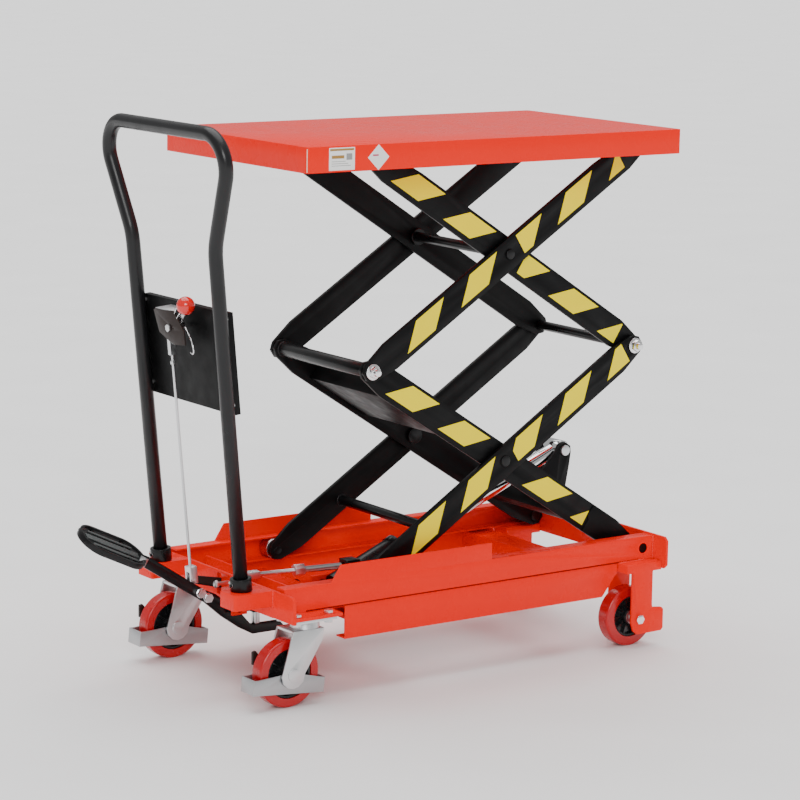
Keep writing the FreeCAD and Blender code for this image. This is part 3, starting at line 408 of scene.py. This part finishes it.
def bolt_recipe():
    """Hexagon head with a washer and a short thread end at each point, facing as it says."""
    recipe = Recipe("hexagon_fasteners", [("Across", "Float", 0.013), ("Head", "Float", 0.006),
                                          ("Washer", "Float", 0.010), ("Thread", "Float", 0.003),
                                          ("Finish", "Material", None)])
    half = recipe.node("ShaderNodeMath", {0: recipe.given("Across"), 1: 0.5774}, operation="MULTIPLY")
    head = recipe.node("GeometryNodeMeshCylinder",
                       {"Vertices": 6, "Radius": half.outputs[0], "Depth": recipe.given("Head")})
    washer = recipe.node("GeometryNodeMeshCylinder",
                         {"Vertices": 28, "Radius": recipe.given("Washer"), "Depth": 0.0016})
    bore = recipe.node("ShaderNodeMath", {0: recipe.given("Across"), 1: 0.3}, operation="MULTIPLY")
    tail = recipe.node("GeometryNodeMeshCylinder",
                       {"Vertices": 20, "Radius": bore.outputs[0], "Depth": recipe.given("Thread")})
    parts = recipe.node("GeometryNodeJoinGeometry")
    lift = recipe.node("ShaderNodeMath", {0: recipe.given("Head"), 1: 0.5}, operation="MULTIPLY")
    lift_head = recipe.node("ShaderNodeMath", {0: lift.outputs[0], 1: 0.0016}, operation="ADD")
    reach = recipe.node("ShaderNodeMath", {0: recipe.given("Thread"), 1: 0.5}, operation="MULTIPLY")
    lift_tail = recipe.node("ShaderNodeMath", {0: reach.outputs[0], 1: recipe.given("Head")}, operation="ADD")
    for source, height in ((head, lift_head.outputs[0]), (washer, 0.0008), (tail, lift_tail.outputs[0])):
        spot = recipe.node("ShaderNodeCombineXYZ", {"Z": height})
        moved = recipe.node("GeometryNodeTransform",
                            {"Geometry": source.outputs["Mesh"], "Translation": spot.outputs[0]})
        recipe.tree.links.new(moved.outputs["Geometry"], parts.inputs["Geometry"])
    facing = recipe.node("GeometryNodeInputNamedAttribute", {"Name": "facing"}, data_type="FLOAT_VECTOR")
    placed = recipe.node("GeometryNodeInstanceOnPoints",
                         {"Points": recipe.given("Geometry"), "Instance": parts.outputs["Geometry"],
                          "Rotation": facing.outputs["Attribute"]})
    recipe.close(placed.outputs["Instances"])
    return recipe


def weld_recipe():
    """Overlapping flattened drops along the edges of a path."""
    recipe = Recipe("weld_bead", [("Bead", "Float", 0.003), ("Step", "Float", 0.0022), ("Seed", "Int", 3),
                                  ("Finish", "Material", None)])
    path = recipe.node("GeometryNodeMeshToCurve", {"Mesh": recipe.given("Geometry")})
    dots = recipe.node("GeometryNodeCurveToPoints",
                       {"Curve": path.outputs["Curve"], "Length": recipe.given("Step")}, mode="LENGTH")
    drop = recipe.node("GeometryNodeMeshIcoSphere", {"Radius": recipe.given("Bead"), "Subdivisions": 2})
    size = recipe.node("FunctionNodeRandomValue", {"Seed": recipe.given("Seed")}, data_type="FLOAT")
    size.inputs[2].default_value = 0.85
    size.inputs[3].default_value = 1.12
    placed = recipe.node("GeometryNodeInstanceOnPoints",
                         {"Points": dots.outputs["Points"], "Instance": drop.outputs["Mesh"],
                          "Scale": size.outputs[1]})
    recipe.close(placed.outputs["Instances"])
    return recipe


def spoke_recipe():
    """Ribs that fan out about Y from each point of a base mesh."""
    recipe = Recipe("hub_ribs", [("Count", "Int", 12), ("Ring", "Float", 0.026), ("Length", "Float", 0.02),
                                 ("Thick", "Float", 0.003), ("Depth", "Float", 0.024),
                                 ("Finish", "Material", None)])
    ring = recipe.node("GeometryNodeMeshCircle", {"Vertices": recipe.given("Count"),
                                                  "Radius": recipe.given("Ring")})
    upright = recipe.node("GeometryNodeTransform",
                          {"Geometry": ring.outputs["Mesh"], "Rotation": Euler((math.pi / 2, 0, 0))})
    extent = recipe.node("ShaderNodeCombineXYZ", {"X": recipe.given("Thick"), "Y": recipe.given("Depth"),
                                                  "Z": recipe.given("Length")})
    rib = recipe.node("GeometryNodeMeshCube", {"Size": extent.outputs[0]})
    outward = recipe.node("GeometryNodeInputPosition")
    aim = recipe.node("FunctionNodeAlignEulerToVector", {"Vector": outward.outputs[0]}, axis="Z",
                      pivot_axis="Y")
    fan = recipe.node("GeometryNodeInstanceOnPoints",
                      {"Points": upright.outputs["Geometry"], "Instance": rib.outputs["Mesh"],
                       "Rotation": aim.outputs[0]})
    placed = recipe.node("GeometryNodeInstanceOnPoints",
                         {"Points": recipe.given("Geometry"), "Instance": fan.outputs["Instances"]})
    recipe.close(placed.outputs["Instances"])
    return recipe


def dots(name, spots):
    """Loose points, each with the turn that faces its piece along a direction."""
    mesh = bpy.data.meshes.new(name)
    mesh.from_pydata([spot for spot, _ in spots], [], [])
    facing = mesh.attributes.new("facing", "FLOAT_VECTOR", "POINT")
    for item, (_, way) in zip(facing.data, spots):
        item.vector = Vector(way).to_track_quat("Z", "Y").to_euler()
    return mesh


def runs(name, paths):
    """Open edge paths through points."""
    mesh = bpy.data.meshes.new(name)
    points = [point for path in paths for point in path]
    edges = []
    first = 0
    for path in paths:
        edges += [(first + step, first + step + 1) for step in range(len(path) - 1)]
        first += len(path)
    mesh.from_pydata(points, edges, [])
    return mesh


def ring_path(centre, radius, normal, steps=24):
    """A closed round path about a direction."""
    turn = Vector(normal).to_track_quat("Z", "Y")
    return [Vector(centre) + turn @ Vector((radius * math.cos(2 * math.pi * step / steps),
                                            radius * math.sin(2 * math.pi * step / steps), 0))
            for step in range(steps + 1)]


bolts = bolt_recipe()
welds = weld_recipe()
ribs = spoke_recipe()


def weld(name, paths, body, material=None, bead=0.0028, slot="red_paint"):
    thing = welds.make(name, runs(name, paths), material or weld_red, 70, Bead=bead, Step=bead * 0.75)
    return joined(thing, body, slot)


# Main pieces -------------------------------------------------------------------------------

def ease_all():
    """Every frame node's copy with rounded edges: its finish and the rounding in millimetres."""
    plan = [
        (red_paint, 1.6, ["deck_tray"]),
        (red_paint, 1.0, ["deck_rails", "side_channel_near", "side_channel_far", "skirt_channels",
                          "handle_end_plate", "wheel_end_plate", "floor_plate", "cross_beam", "caster_mounts",
                          "wheel_brackets", "handle_brackets", "cylinder_bracket", "pedal_bracket"]),
        (arm_paint, 1.2, ["lower_inner_arms", "lower_outer_arms", "upper_outer_arms", "upper_inner_arms"]),
        (arm_paint, 1.0, ["box_beam", "ram_ears", "lever_plate"]),
        (black_paint, 1.0, ["lower_cross_tube", "left_joint_tube", "upper_centre_shaft", "handle_collars",
                            "pedal_lever", "pedal_pad", "pump_body", "ram_barrel"]),
        (black_paint, 0.8, ["right_joint_shaft"]),
        (bracket_paint, 0.5, ["lever_bracket", "release_crank"]),
        (zinc, 0.8, ["caster_fork_near", "caster_fork_far", "caster_top_plates", "ear_pin",
                     "frame_fasteners", "pump_plunger"]),
        (grey_zinc, 0.8, ["brake_frame_near", "brake_frame_far"]),
        (bright, 0.8, ["left_joint_nuts", "upper_inner_pins"]),
        (black_paint, 0.8, ["lower_outer_pins", "frame_pins"]),
        (zinc, 0.4, ["pull_rod", "link_rod", "release_lever"]),
        (steel, 0.8, ["base_rollers", "deck_rollers"]),
        (chrome, 0.8, ["ram_rod"]),
        (tube_paint, 0.0, ["handle_tube"]),
        (red_ball, 0.0, ["ball_knob"]),
        (red_tyre, 0.0, ["swivel_tyre_near", "swivel_tyre_far", "fixed_tyre_near", "fixed_tyre_far"]),
    ]
    for material, width, names in plan:
        for name in names:
            eased(name, width * MM, material)


def fixed_axles():
    """The plated axles of the fixed wheels, parted from the black pins that share their node."""
    pins = bpy.data.objects["frame_pins_eased"]
    axles = linked("fixed_axles", pins.data.copy())
    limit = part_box("fixed_hub_near")[1].z
    for thing, keeps_low in ((pins, False), (axles, True)):
        shape = bmesh.new()
        shape.from_mesh(thing.data)
        gone = [face for face in shape.faces if (face.calc_center_median().z < limit) != keeps_low]
        bmesh.ops.delete(shape, geom=gone, context="FACES")
        shape.to_mesh(thing.data)
        shape.free()
        smooth(thing.data)
    joined(coated(axles, bright), "chassis", "zinc")


# Scissor arms ------------------------------------------------------------------------------

HALF_SPAN = 389.075 * MM
ARM_ANGLE = math.radians(32.62)
PATCH_LOW = -20 * MM
PATCH_HIGH = 24 * MM
PATCH_LENGTH = 78 * MM
PATCH_SLANT = 50 * MM
INNER_ARM_FACE = 158
OUTER_ARM_FACE = 169


def arm_place(centre, rising, y, side):
    """Where a flat outline drawn along an arm and across it goes, facing outwards."""
    way = 1 if rising else -1
    along = Vector((math.cos(ARM_ANGLE), 0, way * math.sin(ARM_ANGLE)))
    across = Vector((-way * math.sin(ARM_ANGLE), 0, math.cos(ARM_ANGLE)))
    outward = Vector((0, side, 0))
    place = Matrix((along, across, outward)).transposed().to_4x4()
    place.translation = Vector((centre[0], side * y, centre[1]))
    return place


def clipped(outline, limit, keep_right):
    """Cut an outline at a line across the arm."""
    kept = []
    for start, end in zip(outline, outline[1:] + outline[:1]):
        inside = (start[0] >= limit) == keep_right
        after = (end[0] >= limit) == keep_right
        if inside:
            kept.append(start)
        if inside != after:
            share = (limit - start[0]) / (end[0] - start[0])
            kept.append((limit, start[1] + share * (end[1] - start[1])))
    return kept


def hazard_patches():
    """Slanted yellow film patches along the outside of each arm.

    A patch is its start along the arm, and where its left and right ends are cut off, if they are.
    """
    low_centre = joints["lower_centre_pivot"]["pos_m"]
    high_centre = joints["upper_centre_pivot"]["pos_m"]
    sets = {
        "lower_inner": (low_centre, False, INNER_ARM_FACE,
                        [(-331, None, None), (-180, None, None), (74, None, None), (224, None, 262)]),
        "lower_outer": (low_centre, True, OUTER_ARM_FACE,
                        [(-287, None, None), (-143, None, None), (-4, 26, None), (143, None, None),
                         (294, None, 362)]),
        "upper_outer": (high_centre, True, OUTER_ARM_FACE,
                        [(-304, None, None), (-152, None, None), (-22, 31, None), (128, None, None),
                         (281, None, 329)]),
        "upper_inner": (high_centre, False, INNER_ARM_FACE,
                        [(-325, None, None), (-175, None, None), (-12, 44, None), (140, None, None),
                         (292, None, 345)]),
    }
    for body, (centre, rising, y, patches) in sets.items():
        for side, mark in ((-1, "near"), (1, "far")):
            place = arm_place((centre[0], centre[2]), rising, y * MM + 0.00002, side)
            for index, (start, left, right) in enumerate(patches):
                begin = start * MM
                outline = [(begin, PATCH_LOW), (begin + PATCH_LENGTH, PATCH_LOW),
                           (begin + PATCH_LENGTH + PATCH_SLANT, PATCH_HIGH),
                           (begin + PATCH_SLANT, PATCH_HIGH)]
                if left is not None:
                    outline = clipped(outline, left * MM, True)
                if right is not None:
                    outline = clipped(outline, right * MM, False)
                name = "patch_%s_%s_%d" % (body, mark, index)
                film = slab(name, outline, 0.00035, place, yellow_paint)
                joined(film, body, "black_paint")


def arm_doublers():
    """Reinforcing sheets over the fixed-pivot ends of the lower inner arms."""
    centre = joints["lower_centre_pivot"]["pos_m"]
    outline = [(266, 29), (262, 4), (270, -2), (268, -29), (345, -29), (386, -13), (405, -8), (405, 8),
               (386, 13), (345, 29)]
    for side, mark in ((-1, "near"), (1, "far")):
        place = arm_place((centre[0], centre[2]), False, INNER_ARM_FACE * MM, side)
        sheet = slab("arm_doubler_" + mark, [(x * MM, z * MM) for x, z in outline], 0.0023, place, arm_paint,
                     0.0007)
        joined(sheet, "lower_inner", "black_paint")


def pivot_bores():
    """Rolled rims over the base pivots, on the outside of the side channels, each round a thin dark disc that
    is painted shade standing in for the depth of the bore.
    """
    for mark, side in (("near", -1), ("far", 1)):
        low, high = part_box("side_channel_" + mark)
        face = low.y if side < 0 else high.y
        pivot = joints["lift"]["pos_m"]
        turn = Matrix.Translation((pivot[0], face - side * 0.0004, pivot[2])) @ \
            Matrix.Rotation(side * -math.pi / 2, 4, "X")
        rim = turned("pivot_rim_" + mark, [(0.0105, 0.0), (0.0132, 0.0), (0.0132, 0.0010), (0.0122, 0.0016),
                                           (0.0105, 0.0014), (0.0105, 0.0)], turn, red_paint, 48)
        joined(rim, "chassis", "red_paint")
        # A thin near-black disc over the pin end: painted shade in place of the bore's depth.
        well = turned("pivot_shade_disc_" + mark, [(0.0, 0.0007), (0.0104, 0.0007), (0.0104, 0.0001),
                                             (0.0, 0.0001)], turn, bore_shade_paint, 48)
        joined(well, "chassis", "red_paint")


def arm_bosses():
    """Welded discs where the upper centre shaft meets the inner faces of the arms."""
    spot = joints["upper_centre_pivot"]["pos_m"]
    bore = 0.0102
    rim = 0.0175
    for side, mark in ((-1, "near"), (1, "far")):
        turn = Matrix.Translation((spot[0], side * 149.6 * MM, spot[2])) @ \
            Matrix.Rotation(side * math.pi / 2, 4, "X")
        disc = turned("upper_centre_boss_" + mark,
                      [(bore, 0.0), (rim - 0.001, 0.0), (rim, 0.001), (rim, 0.006), (rim - 0.001, 0.007),
                       (bore, 0.007), (bore, 0.0)], turn, black_paint)
        joined(disc, "upper_outer", "black_paint")


# Wheels ------------------------------------------------------------------------------------

def wheel_hubs():
    """Moulded hub with a deep rim, ribs and a bearing cover, for each wheel."""
    for kind in ("swivel", "fixed"):
        for mark in ("near", "far"):
            node = "%s_hub_%s" % (kind, mark)
            body = "%s_wheel_%s" % (kind, mark)
            low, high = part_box(node)
            centre = (low + high) / 2
            seat = (high.z - low.z) / 2
            lip = seat - 0.0015
            well = seat - 0.0060
            spot = Matrix.Translation(centre) @ Matrix.Rotation(math.pi / 2, 4, "X")
            wide = 0.0125
            rim = turned("hub_rim_" + node, [
                (seat, -wide), (seat, wide), (lip, wide + 0.0008), (well + 0.001, wide), (well, 0.004),
                (0.0180, 0.0035), (0.0175, 0.0165), (0.0160, 0.0190), (0.0062, 0.0190), (0.0062, -0.0190),
                (0.0160, -0.0190), (0.0175, -0.0165), (0.0180, -0.0035), (well, -0.004),
                (well + 0.001, -wide), (lip, -wide - 0.0008), (seat, -wide)], spot, black_hub, 72)
            joined(rim, body, "black_hub", node)
            base = bpy.data.meshes.new("ribs_" + node)
            base.from_pydata([centre], [], [])
            fan = ribs.make("hub_ribs_" + node, base, black_hub, Count=10, Ring=(well + 0.0175) / 2,
                            Length=well - 0.017, Thick=0.0028, Depth=0.0205)
            joined(fan, body, "black_hub")
            for side, end in ((-1, "a"), (1, "b")):
                face = Matrix.Translation(centre + Vector((0, side * 0.0190, 0))) @ \
                    Matrix.Rotation(side * -math.pi / 2, 4, "X")
                cover = turned("bearing_cover_%s_%s" % (node, end), [
                    (0.0064, -0.0002), (0.0140, -0.0002), (0.0145, 0.0006), (0.0120, 0.0016),
                    (0.0064, 0.0016), (0.0064, -0.0002)], face, zinc, 40)
                joined(cover, body, "zinc")


# Labels ------------------------------------------------------------------------------------

def facing_near(x, y, z):
    """Where a flat outline goes to stand upright at a point, facing the near side."""
    return Matrix(((1, 0, 0, x), (0, 0, -1, y), (0, 1, 0, z), (0, 0, 0, 1)))


def block(x0, z0, x1, z1):
    return [(x0 * MM, z0 * MM), (x1 * MM, z0 * MM), (x1 * MM, z1 * MM), (x0 * MM, z1 * MM)]


def deck_labels():
    """Plain rating plate and a plain diamond, with blocks of ink in place of words."""
    low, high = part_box("deck_tray")
    middle = high.z - 0.0245
    skirt = low.y - 0.00002
    left = low.x + 0.078
    plate = facing_near(left, skirt, middle)
    inks = [
        ("rating_label", block(-29, -21, 29, 21.5), 0.0003, label_white),
        ("rating_header", block(-27, 15.5, 27, 19.5), 0.0004, label_gold),
        ("rating_band", block(-23, 1, 5, 7), 0.0004, label_gold),
        ("rating_square", block(10, -2, 23, 10), 0.0004, label_grey),
    ]
    for row in range(3):
        inks.append(("rating_line_%d" % row, block(-23, -5 - 4 * row, 8 + 6 * row, -4 - 4 * row), 0.0004,
                     label_grey))
    for name, outline, height, ink in inks:
        joined(slab(name, outline, height, plate, ink), "deck", "red_paint")
    diamond = facing_near(left + 0.083, skirt, middle)
    reach = 0.0243
    outline = [(-reach, 0), (0, -reach), (reach, 0), (0, reach)]
    joined(slab("diamond_label", outline, 0.0003, diamond, label_white), "deck", "red_paint")
    joined(slab("diamond_bar", block(-13, 2.5, 0, 5.5), 0.0004, diamond, label_red), "deck", "red_paint")


# Handle and release ------------------------------------------------------------------------

LEAN = math.radians(5.6)
POST_FOOT = Vector((-348.5 * MM, 0, 221 * MM))
HANDLE_OUT = Vector((math.cos(LEAN), 0, math.sin(LEAN)))
HANDLE_UP = Vector((-math.sin(LEAN), 0, math.cos(LEAN)))
PLATE_FACE = 16.0
PLATE_SCREW_SIDE = 149
PLATE_SCREW_HEIGHTS = (363, 529)
POST_SIDE = 150
COLLAR_MIDDLE = 15


def on_handle(x, y, z):
    """A point given out of the handle's plane, across it and up along it, in millimetres."""
    return POST_FOOT + (HANDLE_OUT * x + Vector((0, y, 0)) + HANDLE_UP * z) * MM


def handle_dressing():
    """Screws that hold the lever plate to the posts and the posts in their collars."""
    spots = []
    for side in (-1, 1):
        for z in PLATE_SCREW_HEIGHTS:
            spots.append((on_handle(PLATE_FACE, side * PLATE_SCREW_SIDE, z), -HANDLE_OUT))
    heads = bolts.make("plate_screws", dots("plate_screw_spots", spots), zinc, Across=0.0075, Head=0.0028,
                       Washer=0.0048, Thread=0.0006)
    joined(heads, "chassis", "zinc")
    grubs = [(on_handle(-20.6, side * POST_SIDE, COLLAR_MIDDLE), -HANDLE_OUT) for side in (-1, 1)]
    grubs += [(on_handle(-14, side * POST_SIDE + 14.6, COLLAR_MIDDLE), (-0.7, 0.7, 0.1))
              for side in (-1, 1)]
    small = bolts.make("collar_screws", dots("collar_screw_spots", grubs), zinc, Across=0.006, Head=0.002,
                       Washer=0.0038, Thread=0.0004)
    joined(small, "chassis", "zinc")


def release_dressing():
    """Bright strips under the ball, the return spring's wire hook and the shiny bracket roof."""
    strips = [((-14, -44, 531), (-14, -29, 517)), ((-14, -36, 541), (-14, -22, 524))]
    for index, (start, end) in enumerate(strips):
        begin = on_handle(*start)
        way = (on_handle(*end) - begin).normalized()
        thick = HANDLE_OUT.cross(way)
        place = Matrix((way, HANDLE_OUT, thick)).transposed().to_4x4()
        place.translation = begin - HANDLE_OUT * 0.006
        strip = slab("ball_strip_%d" % index, block(-2, -5, 16, 5), 0.0014, place, bright, 0.0003)
        joined(strip, "release_lever", "zinc")
    hook = [on_handle(-6, -30, 500), on_handle(-8, -38, 494), on_handle(-12, -54, 486),
            on_handle(-14, -66, 474), on_handle(-14, -70, 460), on_handle(-13, -62, 452),
            on_handle(-12, -54, 456)]
    joined(wire("spring_hook", hook, 0.0016, bright), "chassis", "zinc")
    roof = [(-22.5, -18), (13.8, -18), (13.8, 48), (-22.5, 48)]
    place = Matrix((HANDLE_OUT, Vector((0, 1, 0)), HANDLE_UP)).transposed().to_4x4()
    place.translation = on_handle(0, 0, 530.8)
    sheet = slab("bracket_roof_plate", [(x * MM, y * MM) for x, y in roof], 0.0012, place, zinc, 0.0004)
    joined(sheet, "chassis", "zinc")


def pad_tread():
    """Ribbed grey tread laid in the pedal's loop, with long slots left open beside it."""
    tilt = Matrix.Translation((-0.553, -0.006, 0.2995)) @ Matrix.Rotation(math.radians(25.4), 4, "Y") @ \
        Matrix.Rotation(math.radians(25), 4, "X")
    for row, (y, reach) in enumerate(((0, 64), (-5.2, 63), (5.2, 63), (-20.2, 52), (20.2, 52))):
        ridge = slab("pad_ridge_%d" % row, block(-reach, y - 1.7, reach, y + 1.7), 0.0026,
                     tilt @ Matrix.Translation((0, 0, 0.0059)), grey_tread, 0.0006)
        joined(ridge, "pedal", "black_paint")


def pedal_bolts():
    """Bolts between the pedal's two arms, and the clamp that holds its pad."""
    spots = [((x * MM, -0.0151, z * MM), (0, -1, 0)) for x, z in ((-358, 189), (-342, 178))]
    heads = bolts.make("pedal_bolt_heads", dots("pedal_bolt_spots", spots), bright, Across=0.0165,
                       Head=0.0062, Washer=0.0098, Thread=0.0008)
    joined(heads, "pedal", "zinc")
    clamp = Matrix.Translation((-0.4905, -0.011, 0.2695)) @ Matrix.Rotation(math.radians(32), 4, "Y")
    place = clamp @ facing_near(0, -0.0075, 0)
    plate = slab("pad_clamp", block(-9, -9, 9, 9), 0.003, place, steel, 0.0006)
    joined(plate, "pedal", "zinc")


def brake_cams():
    """Small dark cam plate on the far leg of each swivel caster."""
    outline = [(-5, -13), (3, -14), (7, -6), (7, 8), (2, 14), (-5, 12)]
    for side, mark in ((-1, "near"), (1, "far")):
        low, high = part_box("swivel_hub_" + mark)
        centre = (low + high) / 2
        place = facing_near(centre.x - 0.0530, centre.y + 0.031, centre.z + 0.029)
        cam = slab("brake_cam_" + mark, [(x * MM, z * MM) for x, z in outline], 0.007, place, bracket_paint,
                   0.001)
        joined(cam, "swivel_" + mark, "black_paint")
        tilt = Matrix.Translation((0, 0, -0.001)) @ Matrix.Rotation(math.radians(-12), 4, "Z")
        link = slab("brake_cam_link_" + mark, block(-4, -4, 44, 4), 0.003, place @ tilt, zinc, 0.0006)
        joined(link, "swivel_" + mark, "zinc")


# Base dressing -----------------------------------------------------------------------------

def base_welds():
    """Beads round the handle brackets and the frame's corners; a bead on the deck's folded corner seam,
    coloured pale as a painted highlight; and a dark red bead line under each side channel, a painted shadow
    for the gap there.
    """
    front = -298.6 * MM
    bracket = (127 * MM, 183 * MM)
    bracket_foot = 190 * MM
    channel_top = 219 * MM
    paths = []
    for side in (-1, 1):
        for y in bracket:
            paths.append([(front, side * y, 192 * MM), (front, side * y, channel_top)])
        paths.append([(front, side * y, bracket_foot) for y in bracket])
    weld("bracket_welds", paths, "chassis")
    foot = 182 * MM
    paths = []
    for side in (-1, 1):
        y = side * 215.6 * MM
        paths.append([(-291 * MM, y, foot), (-291 * MM, y, channel_top)])
        paths.append([(618 * MM, y, foot), (618 * MM, y, 226 * MM)])
        paths.append([(530 * MM, y, 179 * MM), (596 * MM, y, 179 * MM)])
    weld("corner_welds", paths, "chassis")
    # The deck's corner seam bead, coloured pale salmon as a painted highlight along the corner.
    low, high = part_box("deck_tray")
    corner = low + Vector((0.0012, 0.0012, 0.003))
    seam = [[corner, (corner.x, corner.y, high.z - 0.004)]]
    thing = welds.make("deck_corner_seam", runs("deck_corner_seam", seam), seam_highlight_paint, 70, Bead=0.0010,
                       Step=0.0008)
    joined(thing, "deck", "red_paint")
    # A dark red bead line along each side channel's foot: a painted shadow for the gap under its edge.
    for side, mark in ((-1, "near"), (1, "far")):
        low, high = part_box("side_channel_" + mark)
        face = (low.y if side < 0 else high.y) - side * 0.0002
        foot = low.z + 0.0016
        edge = [[(low.x + 0.05, face, foot), (high.x - 0.04, face, foot)]]
        shadow_gap_line = welds.make("painted_shadow_gap_" + mark, runs("painted_shadow_gap_" + mark, edge), shadow_paint, 70, Bead=0.0011,
                         Step=0.0012)
        joined(shadow_gap_line, "chassis", "red_paint")


def arm_welds():
    """Beads where the cross tubes and the beam meet the arms."""
    outer = joints["lower_centre_pivot"]["pos_m"]
    rise = Vector((math.cos(ARM_ANGLE), 0, math.sin(ARM_ANGLE)))
    lean = Vector((-math.sin(ARM_ANGLE), 0, math.cos(ARM_ANGLE)))
    spot = Vector((outer[0], 0, outer[2])) - rise * 0.211 - lean * 0.009
    rings = [ring_path(spot + Vector((0, side * 0.1605, 0)), 0.011, (0, 1, 0)) for side in (-1, 1)]
    weld("cross_tube_welds", rings, "lower_outer", weld_black, 0.0022, "black_paint")
    left = Vector(joints["left_joint_pivot"]["pos_m"])
    rings = [ring_path(left + Vector((0, side * 0.1475, 0)), 0.0142, (0, 1, 0)) for side in (-1, 1)]
    weld("left_joint_welds", rings, "upper_outer", weld_black, 0.0018, "black_paint")


# Stage -------------------------------------------------------------------------------------

def soft_sun(name, way, power, softness):
    """A wide, soft light that comes from one direction everywhere."""
    lamp = bpy.data.lights.new(name, "SUN")
    lamp.energy = power
    lamp.angle = math.radians(softness)
    thing = bpy.data.objects.new(name, lamp)
    bpy.context.scene.collection.objects.link(thing)
    thing.rotation_mode = "QUATERNION"
    thing.rotation_quaternion = (-Vector(way)).to_track_quat("-Z", "Y")


def studio():
    """Pale floor, even air and two soft lights."""
    mesh = bpy.data.meshes.new("studio_floor")
    reach = 60.0
    mesh.from_pydata([(-reach, -reach, 0), (reach, -reach, 0), (reach, reach, 0), (-reach, reach, 0)], [],
                     [(0, 1, 2, 3)])
    floor = linked("studio_floor", mesh)
    material, tree, shader, place = new_material("pale_floor")
    tree.links.new(tint(tree, noise(tree, place, 3.0), (0.9, 0.9, 0.9), (0.93, 0.93, 0.93)),
                   shader.inputs["Base Color"])
    shader.inputs["Roughness"].default_value = 0.9
    shader.inputs["Specular IOR Level"].default_value = 0.0
    coated(floor, material)
    world = bpy.data.worlds.new("studio_air")
    world.use_nodes = True
    world.node_tree.nodes["Background"].inputs["Color"].default_value = (1, 1, 1, 1)
    world.node_tree.nodes["Background"].inputs["Strength"].default_value = 0.45
    bpy.context.scene.world = world
    soft_sun("overhead_light", (0.1, 0.25, 1.0), 3.2, 70)
    soft_sun("front_light", (-0.9, -1.5, 0.9), 1.3, 25)


def camera():
    """Looks from beside the handle, a little above the deck's middle."""
    azimuth = math.radians(-35.254)
    elevation = math.radians(10.105)
    roll = math.radians(0.902)
    distance = 6.0006
    target = Vector((0.12104, 0, 0.53716))
    back = Vector((math.sin(azimuth) * math.cos(elevation), -math.cos(azimuth) * math.cos(elevation),
                   math.sin(elevation)))
    right = Vector((math.cos(azimuth), math.sin(azimuth), 0))
    up = back.cross(right)
    across = right * math.cos(roll) + up * math.sin(roll)
    rise = up * math.cos(roll) - right * math.sin(roll)
    lens = bpy.data.cameras.new("camera")
    lens.sensor_width = 36
    lens.lens = 133.47
    lens.shift_y = -0.0072
    lens.clip_end = 100
    thing = bpy.data.objects.new("camera", lens)
    bpy.context.scene.collection.objects.link(thing)
    pose = Matrix((across, rise, back)).transposed().to_4x4()
    pose.translation = target + back * distance
    thing.matrix_world = pose
    bpy.context.scene.camera = thing


camera()
ease_all()
fixed_axles()
hazard_patches()
arm_doublers()
arm_bosses()
pivot_bores()
wheel_hubs()
deck_labels()
handle_dressing()
release_dressing()
pad_tread()
pedal_bolts()
brake_cams()
base_welds()
arm_welds()
studio()
